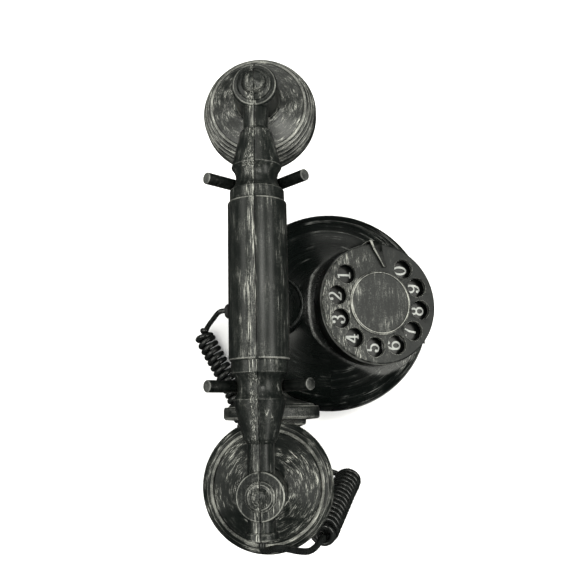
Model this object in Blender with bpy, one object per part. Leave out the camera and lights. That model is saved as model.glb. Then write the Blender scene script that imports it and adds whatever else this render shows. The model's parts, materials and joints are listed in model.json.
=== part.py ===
"""A rotary cradle telephone: a bun-shaped base with a tilted dial, a post that carries two V-shaped
forks, and a turned handset lying in them with a horn mouthpiece and a coiled cord.

Metres, +Z up. X runs along the handset (the earpiece at +X), -Y faces the user, and the origin is the
centre of the base at the level of the table."""

from math import atan2, cos, pi, radians, sin, tau

import bmesh
import bpy
from mathutils import Matrix, Vector

MM = 0.001
GAP = 0.3 * MM

# How many facets a round piece has, by its size
FINE = 30
MEDIUM = 18
SMALL = 10

# Base
BASE_FLOOR = 4 * MM
FLAT_TOP = 50 * MM
WALL = 3 * MM
CUTTER_REACH = 200 * MM
CORD_HOLE = (2 * MM, 0, 20 * MM)
PLATE_THICK = 2 * MM
SCREW_PLACES = ((41, 14), (-41, 14), (36, -25), (-36, -25))
DISH_Y = 34 * MM

# Cradle: two V-shaped forks on a bar, and a plunger that slides in the post
CRADLE_Y = 37 * MM
FORK_X = 53 * MM
FORK_VERTEX = 114 * MM
FORK_TIP = 143 * MM
FORK_SPREAD = 25.5 * MM
ROD_RADIUS = 3.1 * MM

# Dial: its frame has its origin on the sloping facet, with z along the dial's axis
DIAL_TILT = radians(18.8)
RIDGE_Y = 12 * MM
DIAL_FOOT_Y = -27.3 * MM
HOLE_CIRCLE = 28 * MM
HOLE_RADIUS = 6 * MM
FIRST_HOLE = radians(50.5)
HOLE_STEP = radians(30.2)
GEAR_TEETH = 40
PINION_TEETH = 10
MODULE = 0.96 * MM
GOVERNOR_ANGLE = radians(225)

# Handset
NECK_RADIUS = 10.9 * MM
EAR_X = 103.5 * MM
MOUTH_X = -105.5 * MM
HORN_Z = 50 * MM

DIAL_DISTANCE = MODULE * (GEAR_TEETH + PINION_TEETH) / 2
FORK_SLOPE = atan2(FORK_SPREAD, FORK_TIP - FORK_VERTEX)
HANDSET_Z = FORK_VERTEX + (NECK_RADIUS + ROD_RADIUS + GAP) / sin(FORK_SLOPE)
FACET_Z = FLAT_TOP - (RIDGE_Y - DIAL_FOOT_Y) * sin(DIAL_TILT) / cos(DIAL_TILT)

DIAL_FRAME = Matrix.Translation((0, DIAL_FOOT_Y, FACET_Z)) @ Matrix.Rotation(DIAL_TILT, 4, "X")
ALONG_X = Matrix.Rotation(pi / 2, 4, "Y")
ALONG_Y = Matrix.Rotation(-pi / 2, 4, "X")


# ---------------------------------------------------------------- tools


def clear_scene():
    for obj in list(bpy.data.objects):
        bpy.data.objects.remove(obj, do_unlink=True)


def material(name, color, roughness, metallic):
    mat = bpy.data.materials.new(name)
    mat.use_nodes = True
    mat.diffuse_color = (*color, 1)
    surface = mat.node_tree.nodes["Principled BSDF"]
    surface.inputs["Base Color"].default_value = (*color, 1)
    surface.inputs["Roughness"].default_value = roughness
    surface.inputs["Metallic"].default_value = metallic
    return mat


def new_object(name, mesh, look, place=None, parent=None):
    """An object at a world place, which may hang from a parent empty."""
    obj = bpy.data.objects.new(name, mesh)
    bpy.context.scene.collection.objects.link(obj)
    obj.parent = parent
    local = place or Matrix.Identity(4)
    obj.matrix_local = parent.matrix_world.inverted() @ local if parent else local
    if look and not mesh.materials:
        mesh.materials.append(look)
    return obj


def new_empty(name, place, parent=None):
    obj = bpy.data.objects.new(name, None)
    obj.empty_display_size = 0.01
    bpy.context.scene.collection.objects.link(obj)
    obj.parent = parent
    obj.matrix_local = parent.matrix_world.inverted() @ place if parent else place
    bpy.context.view_layer.update()
    return obj


def finished(mesh_tool, name):
    """A mesh from a bmesh, facing out, with smooth faces and its corners kept sharp."""
    bmesh.ops.remove_doubles(mesh_tool, verts=mesh_tool.verts, dist=1e-6)
    bmesh.ops.recalc_face_normals(mesh_tool, faces=mesh_tool.faces)
    mesh = bpy.data.meshes.new(name)
    mesh_tool.to_mesh(mesh)
    mesh_tool.free()
    mesh.shade_smooth()
    mesh.set_sharp_from_angle(angle=radians(32))
    return mesh


def in_mm(pairs):
    return [(a * MM, b * MM) for a, b in pairs]


def turned(name, outline, segments=MEDIUM, phase=0.0):
    """A closed outline of (radius, height) points revolved round Z. Points on the axis become poles, and
    the phase, in segments, keeps the edges of two crossing pieces apart."""
    tool = bmesh.new()
    rings = []
    for radius, height in outline:
        if radius < 1e-7:
            rings.append([tool.verts.new((0, 0, height))] * segments)
            continue
        angles = [tau * (i + phase) / segments for i in range(segments)]
        rings.append([tool.verts.new((radius * cos(a), radius * sin(a), height)) for a in angles])
    for ring, following in zip(rings, rings[1:] + rings[:1]):
        for i in range(segments):
            j = (i + 1) % segments
            corners = list(dict.fromkeys((ring[i], ring[j], following[j], following[i])))
            if len(corners) > 2:
                tool.faces.new(corners)
    return finished(tool, name)


def swept(name, stations):
    """A closed skin over a list of sections, each an equal list of points, capped at both ends."""
    tool = bmesh.new()
    rings = [[tool.verts.new(point) for point in section] for section in stations]
    for ring, following in zip(rings, rings[1:]):
        for i in range(len(ring)):
            j = (i + 1) % len(ring)
            tool.faces.new((ring[i], ring[j], following[j], following[i]))
    tool.faces.new(rings[0][::-1])
    tool.faces.new(rings[-1])
    return finished(tool, name)


def along(points, radii, sides):
    """Round sections along a path, turned as little as possible from one to the next."""
    normal = None
    stations = []
    for i, point in enumerate(points):
        ahead = points[min(i + 1, len(points) - 1)] - points[max(i - 1, 0)]
        ahead.normalize()
        if normal is None:
            normal = ahead.orthogonal()
        normal = (normal - ahead * normal.dot(ahead)).normalized()
        side = ahead.cross(normal)
        turns = [tau * k / sides for k in range(sides)]
        stations.append([point + radii[i] * (normal * cos(a) + side * sin(a)) for a in turns])
    return stations


def rod(name, points, radius, sides=12):
    return swept(name, along(points, [radius] * len(points), sides))


def block(name, low, high, bevel=0.4 * MM):
    """A box between two corners, with small bevels."""
    tool = bmesh.new()
    bmesh.ops.create_cube(tool, size=1)
    size = [b - a for a, b in zip(low, high)]
    middle = [(a + b) / 2 for a, b in zip(low, high)]
    bmesh.ops.scale(tool, vec=size, verts=tool.verts)
    bmesh.ops.translate(tool, vec=middle, verts=tool.verts)
    bmesh.ops.bevel(tool, geom=tool.edges[:], offset=bevel, segments=1, affect="EDGES")
    return finished(tool, name)


def slab(name, outline, low, high):
    """A flat outline of (x, y) points, extruded from one height to the other."""
    return swept(name, [[(x, y, z) for x, y in outline] for z in (low, high)])


def add_boolean(target, operation, helper):
    """Adds a Boolean to the target, with the helper hidden as its other half."""
    helper.hide_render = True
    helper.display_type = "WIRE"
    step = target.modifiers.new(helper.name, "BOOLEAN")
    step.operation = operation
    step.object = helper
    step.solver = "EXACT"


def boolean(target, operation, tool_name, mesh, place=None):
    add_boolean(target, operation, new_object(tool_name, mesh, None, place))


def arc(centre, radius, start, end, steps):
    """Points on an arc in a plane, from one angle to the other."""
    angles = [start + (end - start) * i / steps for i in range(steps + 1)]
    return [(centre[0] + radius * cos(a), centre[1] + radius * sin(a)) for a in angles]


def inset(points, distance):
    """An open line of (radius, height) points moved towards the axis and down, by its own normals."""
    moved = []
    for i, (radius, height) in enumerate(points):
        before = points[max(i - 1, 0)]
        after = points[min(i + 1, len(points) - 1)]
        run = Vector((after[0] - before[0], after[1] - before[1])).normalized()
        moved.append((max(radius - distance * run.y, 0), height + distance * run.x))
    return moved


# ---------------------------------------------------------------- base


def bun_side():
    """The outer side of the base from its floor to the rim of its flat top: a round belly, a crease,
    and a shallow dome."""
    belly = [(56, 4), (61, 7), (64.6, 12), (66, 19), (65, 24.6), (61.9, 29.2), (56.8, 33.2)]
    dome = [(50.5, 36.5), (44, 39.2), (36, 42.9), (29, 46), (24, 48.1), (20, 50)]
    return in_mm(belly + dome)


def add_base(looks):
    side = bun_side()
    shell = new_object("base_shell", turned("base_shell", [(0, BASE_FLOOR)] + side + [(0, FLAT_TOP)], FINE),
                       looks["black"])
    boss = in_mm([(0, 30), (20.5, 30), (19.6, 40), (19, 50), (19, 57.2), (18.2, 58), (17, 58), (16, 56.6),
                  (10, 55.6), (0, 55.6)])
    boolean(shell, "UNION", "boss_form", turned("boss_form", boss, MEDIUM, 0.21),
            Matrix.Translation((0, DISH_Y, 0)))
    reach = CUTTER_REACH
    facet = block("facet_form", (-reach, -reach, 0), (reach, reach, reach), 0.01 * MM)
    boolean(shell, "DIFFERENCE", "facet_form", facet, DIAL_FRAME)
    add_cavity(shell, side)
    bore = in_mm([(0, 20), (7.2, 20), (7.2, 70), (0, 70)])
    boolean(shell, "DIFFERENCE", "post_bore", turned("post_bore", bore, SMALL, 0.43),
            Matrix.Translation((0, CRADLE_Y, 0)))
    hole = in_mm([(0, -10), (30, -10), (30, 10), (0, 10)])
    boolean(shell, "DIFFERENCE", "dial_hole", turned("dial_hole", hole, MEDIUM, 0.31), DIAL_FRAME)
    outlet = in_mm([(0, 50), (4.5, 50), (4.5, 75), (0, 75)])
    boolean(shell, "DIFFERENCE", "cord_hole", turned("cord_hole", outlet, SMALL),
            Matrix.Translation(CORD_HOLE) @ ALONG_Y)


def add_cavity(shell, side):
    """The hollow inside: the inset side, cut parallel to the facet, with four screw pillars left in."""
    inner = [(51 * MM, BASE_FLOOR - 2 * MM), (51 * MM, BASE_FLOOR + 2.4 * MM)] + inset(side, WALL)[2:]
    inner[-1] = (inner[-1][0], FLAT_TOP - WALL)
    outline = [(0, BASE_FLOOR - 2 * MM)] + inner + [(0, FLAT_TOP - WALL)]
    helper = new_object("cavity_form", turned("cavity_form", outline, 20, 0.37), None)
    reach = CUTTER_REACH
    roof = block("cavity_roof", (-reach, -reach, -WALL), (reach, reach, reach), 0.01 * MM)
    boolean(helper, "DIFFERENCE", "cavity_roof", roof, DIAL_FRAME)
    for number, (x, y) in enumerate(SCREW_PLACES):
        pillar = in_mm([(1.7, 0), (1.7, 20), (0, 20), (0, 80), (4, 80), (4, 0)])
        pillar = [(r, z + BASE_FLOOR + PLATE_THICK + GAP) for r, z in pillar]
        name = f"pillar_{number}"
        boolean(helper, "DIFFERENCE", name, turned(name, pillar, 8, 0.15),
                Matrix.Translation((x * MM, y * MM, 0)))
    add_boolean(shell, "DIFFERENCE", helper)


def add_underside(looks):
    """The plate that closes the base, its four screws, and the felt pad that the phone stands on."""
    rim = [(0, 4), (50.2, 4), (50.2, 6), (0, 6)]
    plate = new_object("base_plate", turned("base_plate", in_mm(rim), FINE), looks["dark_metal"])
    felt = [(0, 0), (48.2, 0), (49, 0.8), (49, 3.6), (0, 3.6)]
    pad = new_object("felt_pad", turned("felt_pad", in_mm(felt), FINE), looks["felt"])
    screw = turned("base_screw", in_mm([(0, 2.2), (2.6, 2.2), (3.2, 2.8), (3.2, 3.7), (1.4, 3.7), (1.4, 18),
                                        (0, 18)]), 12)
    for number, (x, y) in enumerate(SCREW_PLACES, 1):
        place = Matrix.Translation((x * MM, y * MM, 0))
        hole = turned(f"screw_hole_{number}", in_mm([(0, 2), (1.8, 2), (1.8, 8), (0, 8)]), 12)
        boolean(plate, "DIFFERENCE", f"screw_hole_{number}", hole, place)
        new_object(f"base_screw_{number}", screw, looks["steel"], place)
        well = turned(f"felt_hole_{number}", in_mm([(0, -1), (4.2, -1), (4.2, 5), (0, 5)]), 12)
        boolean(pad, "DIFFERENCE", f"felt_hole_{number}", well, place)


def add_post(looks):
    """The hollow post with a bead half-way, and the bush that closes its top."""
    place = Matrix.Translation((0, CRADLE_Y, 0))
    outline = [(3.5, 38), (6.5, 38), (6.5, 56.2), (10, 56.2), (9.2, 58.4), (8.2, 60.2), (7.6, 66), (7.4, 77),
               (8.6, 78.2), (9, 80), (8.6, 81.8), (7.4, 83), (7.4, 98), (5.4, 98), (5.4, 42), (3.5, 42)]
    new_object("cradle_post", turned("cradle_post", in_mm(outline), 16), looks["black"], place)
    bush = [(3.3, 94), (5.1, 94), (5.1, 98.3), (6.8, 98.3), (6.8, 99.8), (3.3, 99.8)]
    new_object("post_bush", turned("post_bush", in_mm(bush), SMALL), looks["brass"], place)


def add_base_fittings(looks):
    """What the base holds for the line: hook switch, terminals and the cord's grommet."""
    y = CRADLE_Y
    low = (-7 * MM, y - 5 * MM, 8.6 * MM)
    new_object("hook_switch", block("hook_switch", low, (7 * MM, y + 5 * MM, 21 * MM)), looks["bakelite"])
    leaf = block("hook_contact", (-6 * MM, y - 3 * MM, 21.3 * MM), (5 * MM, y + 3 * MM, 22.3 * MM), 0.2 * MM)
    new_object("hook_contact", leaf, looks["brass"])
    low = (13 * MM, 37 * MM, 9 * MM)
    new_object("terminal_block", block("terminal_block", low, (27 * MM, 44 * MM, 17 * MM)), looks["bakelite"])
    grommet = [(2.3, 59), (4.1, 59), (4.1, 66.5), (6.2, 66.8), (6.2, 68.2), (4.4, 70), (2.8, 70.4), (2.3, 70)]
    new_object("cord_grommet", turned("cord_grommet", in_mm(grommet), SMALL), looks["rubber"],
               Matrix.Translation(CORD_HOLE) @ ALONG_Y)


def add_ringer(looks):
    """Two gongs on a bracket, a pair of coils and the clapper that swings between them."""
    plate = new_object("ringer_bracket", block("ringer_bracket", (-26 * MM, -12 * MM, 6.4 * MM),
                                               (26 * MM, 27 * MM, 7.9 * MM)), looks["steel"])
    posts = ((19, 22, 2, 23.5), (-19, 22, 2, 23.5), (0, 0, 1.5, 24), (9, -5, 2.4, 25), (-9, -5, 2.4, 25))
    for number, (x, y, radius, top) in enumerate(posts):
        form = in_mm([(0, 7), (radius, 7), (radius, top), (0, top)])
        boolean(plate, "UNION", f"ringer_post_{number}", turned(f"ringer_post_{number}", form, 10),
                Matrix.Translation((x * MM, y * MM, 0)))
    gong = turned("gong", in_mm([(14, 14), (14, 18), (11.6, 22), (7, 24.4), (2.3, 25), (2.3, 23.8),
                                 (6.6, 23.2), (10.6, 21), (12.8, 17.6), (12.8, 14)]), 20)
    coil = turned("coil", in_mm([(2.7, 8.3), (6.6, 8.3), (6.6, 9.5), (5.8, 9.5), (5.8, 20.8), (6.6, 20.8),
                                 (6.6, 22), (2.7, 22)]), SMALL)
    for side, x in (("right", 1), ("left", -1)):
        new_object(f"gong_{side}", gong, looks["brass"], Matrix.Translation((x * 19 * MM, 22 * MM, 0)))
        new_object(f"ringer_coil_{side}", coil, looks["copper"], Matrix.Translation((x * 9 * MM, -5 * MM, 0)))
    pivot = new_empty("clapper_pivot", Matrix.Identity(4))
    collar = in_mm([(1.8, 14), (3.4, 14), (3.4, 18), (1.8, 18)])
    clapper = new_object("clapper", turned("clapper", collar, SMALL), looks["steel"], None, pivot)
    arm = [Vector((0, y * MM, 16 * MM)) for y in (2.6, 21)]
    boolean(clapper, "UNION", "clapper_arm", rod("clapper_arm", arm, 1 * MM, 10))
    ball = turned("clapper_ball", arc_ball(3.2 * MM, 6), 12)
    boolean(clapper, "UNION", "clapper_ball", ball, Matrix.Translation((0, 22 * MM, 16 * MM)))


def arc_ball(radius, steps):
    """The half outline of a ball."""
    points = arc((0, 0), radius, -pi / 2, pi / 2, steps)
    return [(max(r, 0) if 0 < i < steps else 0, z) for i, (r, z) in enumerate(points)]


# ---------------------------------------------------------------- dial


def gear_outline(teeth, phase):
    """Straight-sided teeth, thinner than their spaces so that a pair turns freely."""
    pitch = teeth * MODULE / 2
    root = pitch - 1.25 * MODULE
    tip = pitch + 0.8 * MODULE
    step = tau / teeth
    points = []
    for tooth in range(teeth):
        middle = phase + tooth * step
        for radius, share in ((root, -0.25), (tip, -0.1), (tip, 0.1), (root, 0.25)):
            angle = middle + share * step
            points.append((radius * cos(angle), radius * sin(angle)))
    return points


def add_dial_body(looks):
    housing = [(38.6, 0.3), (38.6, 11.4), (38, 12), (36.3, 12), (36.3, 3), (6, 3), (6, 0), (26, 0), (26, -6),
               (29.4, -6), (29.4, 0.3)]
    new_object("dial_housing", turned("dial_housing", in_mm(housing), FINE), looks["black"], DIAL_FRAME)
    ring = [(36, 3.3), (36, 8.7), (14, 8.7), (14, 7.5), (34.8, 7.5), (34.8, 3.3)]
    new_object("number_ring", turned("number_ring", in_mm(ring), 30), looks["black"], DIAL_FRAME)
    drum = [(3.6, -5.8), (11, -5.8), (11.6, -5.2), (11.6, -0.4), (3.6, -0.4)]
    new_object("return_spring_drum", turned("return_spring_drum", in_mm(drum)), looks["steel"], DIAL_FRAME)
    add_finger_stop(looks)
    add_dial_frame(looks)


def add_finger_stop(looks):
    """A strap up the side of the housing that bends over the wheel and tapers to a round tip."""
    path = [(39.7, 2, 3, 4), (39.7, 2, 14.2, 4), (39.3, 2, 15.6, 4), (38, 1.8, 16.2, 3.9),
            (34, 0.4, 16.2, 3.3), (30, -2.4, 16.2, 2.7), (26.5, -6, 16.2, 2.3), (24.6, -8.4, 16.2, 1.9),
            (23.6, -9.4, 16.2, 0.9)]
    stations = []
    for i, (radius, degrees, height, half) in enumerate(path):
        angle = radians(degrees)
        out = Vector((cos(angle), sin(angle), 0))
        side = Vector((-sin(angle), cos(angle), 0)) * half * MM
        across = out if i < 2 else Vector((0, 0, 1))
        if i == 2:
            across = (out + Vector((0, 0, 1))).normalized()
        half_thick = across * 0.7 * MM
        centre = out * radius * MM + Vector((0, 0, height * MM))
        stations.append([centre + side + half_thick, centre - side + half_thick,
                         centre - side - half_thick, centre + side - half_thick])
    new_object("finger_stop", swept("finger_stop", stations), looks["worn"], DIAL_FRAME)


def add_dial_frame(looks):
    """The plate under the dial that carries the shaft and the governor, on three pillars."""
    plate = turned("dial_mechanism_frame", in_mm([(3.3, -12), (30, -12), (30, -10.6), (3.3, -10.6)]), 30)
    frame = new_object("dial_mechanism_frame", plate, looks["brass"], DIAL_FRAME)
    for number in range(3):
        angle = radians(45 + 120 * number) if number != 1 else radians(160)
        place = DIAL_FRAME @ Matrix.Translation((23.6 * MM * cos(angle), 23.6 * MM * sin(angle), 0))
        form = turned(f"frame_pillar_{number}", in_mm([(0, -11), (1.8, -11), (1.8, -0.3), (0, -0.3)]), 12)
        boolean(frame, "UNION", f"frame_pillar_{number}", form, place)
    place = DIAL_FRAME @ governor_place()
    hole = turned("governor_hole", in_mm([(0, -14), (1.6, -14), (1.6, -9), (0, -9)]), 14)
    boolean(frame, "DIFFERENCE", "governor_hole", hole, place)


def governor_place():
    offset = (DIAL_DISTANCE * cos(GOVERNOR_ANGLE), DIAL_DISTANCE * sin(GOVERNOR_ANGLE), 0)
    return Matrix.Translation(offset)


def add_wheel(looks):
    """What turns under the finger: wheel, cap, shaft and main gear."""
    axis = new_empty("dial_axis", DIAL_FRAME)
    outline = [(6.3, 12.4), (37.4, 12.4), (38, 13), (38, 14.1), (37.4, 14.7), (6.3, 14.7)]
    wheel = new_object("finger_wheel", turned("finger_wheel", in_mm(outline), FINE), looks["gunmetal"],
                       DIAL_FRAME, axis)
    for number in range(10):
        angle = FIRST_HOLE + number * HOLE_STEP
        place = DIAL_FRAME @ Matrix.Translation((HOLE_CIRCLE * cos(angle), HOLE_CIRCLE * sin(angle), 0))
        name = f"finger_hole_{number}"
        low, high = 10 * MM, 18 * MM
        hole = turned(name, [(0, low), (HOLE_RADIUS, low), (HOLE_RADIUS, high), (0, high)], SMALL)
        boolean(wheel, "DIFFERENCE", name, hole, place)
    cap = [(0, 15.1), (19.8, 15.1), (20.2, 15.5), (20.1, 16), (19.6, 16.4), (18.9, 16.4), (18.4, 15.9),
           (0, 15.9)]
    new_object("dial_cap", turned("dial_cap", in_mm(cap), 30), looks["gunmetal"], DIAL_FRAME, axis)
    shaft = [(0, 14.8), (5.9, 14.8), (5.9, 12.1), (9, 12.1), (9, 10.4), (3, 10.4), (3, -5.4), (2.9, -16),
             (0, -16)]
    new_object("dial_shaft", turned("dial_shaft", in_mm(shaft), SMALL), looks["steel"], DIAL_FRAME, axis)
    gear = new_object("main_gear", slab("main_gear", gear_outline(GEAR_TEETH, GOVERNOR_ANGLE),
                      -9.4 * MM, -7.4 * MM), looks["brass"], DIAL_FRAME, axis)
    bore = turned("gear_bore", in_mm([(0, -12), (3.3, -12), (3.3, -5), (0, -5)]), SMALL)
    boolean(gear, "DIFFERENCE", "gear_bore", bore, DIAL_FRAME)


def add_governor(looks):
    """The pinion and brake drum that hold the wheel to an even speed on its way back."""
    place = DIAL_FRAME @ governor_place()
    axis = new_empty("governor_axis", place)
    phase = GOVERNOR_ANGLE + pi + pi / PINION_TEETH
    pinion = slab("governor", gear_outline(PINION_TEETH, phase), -9.8 * MM, -7 * MM)
    governor = new_object("governor", pinion, looks["brass"], place, axis)
    spindle = [(0, -2.5), (1.2, -2.5), (1.2, -13.2), (6, -13.2), (6.4, -13.6), (6.4, -17), (6, -17.4),
               (0, -17.4)]
    form = turned("governor_spindle", in_mm(spindle[::-1]), SMALL)
    boolean(governor, "UNION", "governor_spindle", form, place)


# ---------------------------------------------------------------- cradle


def add_cradle(looks):
    """The bar and its two forks, on a spring-loaded plunger that slides in the post."""
    axis = new_empty("cradle_slide", Matrix.Translation((0, CRADLE_Y, 0)))
    place = axis.matrix_world.copy()
    hub = [(3.4, 101), (8.4, 101), (9, 101.6), (8.2, 104), (7.4, 108), (7.4, 115.4), (6, 117), (0, 117),
           (0, 112), (3.4, 112)]
    bar = new_object("cradle_bar", turned("cradle_bar", in_mm(hub), 20), looks["black"], place, axis)
    reach = FORK_X - ROD_RADIUS - GAP
    for side in (-1, 1):
        ends = [Vector((side * 5 * MM, CRADLE_Y, 112.5 * MM)), Vector((side * 40 * MM, CRADLE_Y, 112.5 * MM)),
                Vector((side * reach, CRADLE_Y, 113.4 * MM))]
        name = f"bar_arm_{'right' if side > 0 else 'left'}"
        boolean(bar, "UNION", name, rod(name, ends, 3.2 * MM))
    for side, x in (("right", FORK_X), ("left", -FORK_X)):
        fork = rod(f"fork_{side}", fork_path(x), ROD_RADIUS, 14)
        new_object(f"fork_{side}", fork, looks["black"], None, axis)
    plunger = [(0, 25), (2.2, 25), (3, 26), (3, 76), (5, 76.4), (5, 79), (3, 79.4), (3, 111.6), (0, 111.6)]
    new_object("plunger", turned("plunger", in_mm(plunger), SMALL), looks["steel"], place, axis)
    new_object("cradle_spring", coil_spring("cradle_spring", 4.2 * MM, 0.5 * MM, 42.8 * MM, 75.4 * MM, 7),
               looks["steel"], place)


def fork_path(x):
    """From one tip down to a rounded vertex and up to the other tip."""
    bend = 6 * MM
    half = pi / 2 - FORK_SLOPE
    centre_z = FORK_VERTEX + bend / sin(FORK_SLOPE)
    curve = arc((0, centre_z), bend, -pi / 2 - half, -pi / 2 + half, 4)
    flat = [(-FORK_SPREAD, FORK_TIP)] + curve + [(FORK_SPREAD, FORK_TIP)]
    return [Vector((x, CRADLE_Y + y, z)) for y, z in flat]


def coil_spring(name, radius, wire, low, high, turns):
    steps = turns * 8
    points = []
    for i in range(steps + 1):
        angle = tau * turns * i / steps
        points.append(Vector((radius * cos(angle), radius * sin(angle), low + (high - low) * i / steps)))
    return rod(name, points, wire, 4)


# ---------------------------------------------------------------- handset


def grip_side():
    """Half the length of the handle from the middle outwards, as (radius, distance) points: grip,
    collar, hollow neck, cone and tube."""
    return in_mm([(15.3, 0), (15.3, 40.2), (14.9, 41), (14.1, 41.2), (14.1, 46.9), (13.6, 47.5), (11.9, 49.6),
                  (10.9, 52.6), (10.9, 54.4), (11.7, 58), (13, 59.8), (13, 60.6), (8.2, 79), (7, 80.4),
                  (6.5, 80.8)])


def handle_outline():
    """The whole handle along its axis, from the cord outlet to the earpiece end."""
    half = grip_side()
    outlet = in_mm([(0, -126), (7.2, -126), (7.7, -125.5), (7.7, -122.8), (7.2, -122.3), (6.5, -122.3)])
    return outlet + [(r, -z) for r, z in half[:0:-1]] + half[1:] + [(6.5 * MM, EAR_X), (0, EAR_X)]


def bore_outline():
    """The hollow of the handle: 2 mm inside its outline, and narrow in the tubes."""
    wide = [(4.5, 78), (9, 62), (8.8, 54), (11.6, 46), (13.2, 39)]
    left = [(0, -128), (4.5, -128)] + [(r, -z) for r, z in wide]
    right = [(r, z) for r, z in wide[::-1]] + [(4.5, 103), (0, 103)]
    return in_mm(left + right)


EAR_HUB = [(0, -12), (11.4, -12), (12.1, -10.5), (12.1, 3.6), (11.3, 4.5), (9, 4.5), (8.9, 6.2), (8.2, 7),
           (6.6, 7.2), (6, 9.4), (4.4, 11.6), (1.2, 12.6), (0, 14.2)]
MOUTH_HUB = [(0, -12), (10.8, -12), (11.5, -10.5), (11.5, 3.6), (10.7, 4.5), (7, 4.5), (6.7, 6.6), (5.8, 7),
             (5.6, 8.8), (4.2, 9.4), (3.8, 11.4), (2.4, 13), (0, 13.6)]


def hub_bore(depth):
    return in_mm([(0, -40), (6, -40), (6, depth), (0, depth)])


def add_handle(looks, axis):
    """The handle in two hollow halves, split along its length in the upright plane of its axis."""
    reach = CUTTER_REACH
    centre = Matrix.Translation((0, CRADLE_Y, HANDSET_Z))
    for side, sign in (("front", -1), ("rear", 1)):
        name = f"handset_{side}_half"
        half = new_object(name, turned(name, handle_outline(), 16), looks["worn"], centre @ ALONG_X, axis)
        for x, hub, tag in ((EAR_X, EAR_HUB, "ear"), (MOUTH_X, MOUTH_HUB, "mouth")):
            place = centre @ Matrix.Translation((x, 0, 0))
            form = f"{tag}_hub_form_{side}"
            boolean(half, "UNION", form, turned(form, in_mm(hub), 16, 0.37), place)
        tube = f"handle_bore_{side}"
        boolean(half, "DIFFERENCE", tube, turned(tube, bore_outline(), SMALL, 0.21), centre @ ALONG_X)
        for x, tag in ((EAR_X, "ear"), (MOUTH_X, "mouth")):
            form = f"{tag}_hub_bore_{side}"
            boolean(half, "DIFFERENCE", form, turned(form, hub_bore(2), SMALL, 0.43),
                    centre @ Matrix.Translation((x, 0, 0)))
        near, far = sorted((-sign * reach, sign * GAP / 2))
        cutter = block(f"{side}_split", (-reach, near, -reach), (reach, far, reach), 0.01 * MM)
        boolean(half, "DIFFERENCE", f"{side}_split", cutter, centre)


def add_ear_end(looks, axis):
    place = Matrix.Translation((EAR_X, CRADLE_Y, 0))
    top = HANDSET_Z / MM - 12.3
    steps = [(12.1, top), (12.6, top - 2), (15, top - 3.6), (27.4, 116), (28, 113.4), (30.6, 110.6),
             (32.4, 105.6), (32.4, 99.4), (31.8, 98.6), (29.8, 98.6), (29.8, 106), (26, 111.4), (13, 116.6),
             (6, 118), (6, top)]
    new_object("ear_shell", turned("ear_shell", in_mm(steps)), looks["worn"], place, axis)
    cap = [(0, 99.6), (6, 99.4), (20, 96.4), (27, 95.2), (31.2, 96), (31.8, 98), (29.4, 98.3), (29.4, 102),
           (27.4, 102), (27.4, 99), (20, 99.6), (6, 101.8), (0, 102)]
    ear_cap = new_object("ear_cap", turned("ear_cap", in_mm(cap), MEDIUM), looks["black"], place, axis)
    add_sound_holes(ear_cap, place, 95 * MM, 104 * MM, "ear", 5)
    capsule = [(0, 103), (22, 103), (24, 104.2), (24, 108.4), (16, 112.4), (0, 112.4)]
    new_object("receiver_capsule", turned("receiver_capsule", in_mm(capsule)), looks["steel"], place, axis)


def add_sound_holes(target, place, low, high, tag, ring):
    """Small round holes, one in the middle and the others in a ring."""
    spots = [(0, 0)] + [(6 * MM * cos(tau * i / ring), 6 * MM * sin(tau * i / ring)) for i in range(ring)]
    for number, (x, y) in enumerate(spots):
        name = f"{tag}_sound_hole_{number}"
        form = turned(name, [(0, low), (1.1 * MM, low), (1.1 * MM, high), (0, high)], 6)
        boolean(target, "DIFFERENCE", name, form, place @ Matrix.Translation((x, y, 0)))


def add_mouth_end(looks, axis):
    place = Matrix.Translation((MOUTH_X, CRADLE_Y, 0))
    top = HANDSET_Z / MM - 12.3
    shell = [(11.5, top), (11.2, 112), (10.8, 106), (12.4, 102.6), (16, 100), (29.4, 94.4), (31.2, 95.2),
             (33.8, 92.4), (36, 89.6), (36, 82),
             (35.2, 80.8), (33.4, 80.8), (33.4, 88), (30, 91), (15, 97), (8, 100), (6, 104), (6, top)]
    new_object("mouth_shell", turned("mouth_shell", in_mm(shell), 20), looks["worn"], place, axis)
    plate = [(9.6, 79.2), (31.6, 79.2), (32.4, 80.4), (32.4, 83), (9.6, 83)]
    new_object("mouth_plate", turned("mouth_plate", in_mm(plate), MEDIUM), looks["worn"], place, axis)
    capsule = [(0, 84), (24, 84), (26, 85), (26, 89.4), (14, 94.6), (0, 94.6)]
    new_object("transmitter_capsule", turned("transmitter_capsule", in_mm(capsule)), looks["steel"],
               place, axis)
    add_horn(looks, axis)


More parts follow.
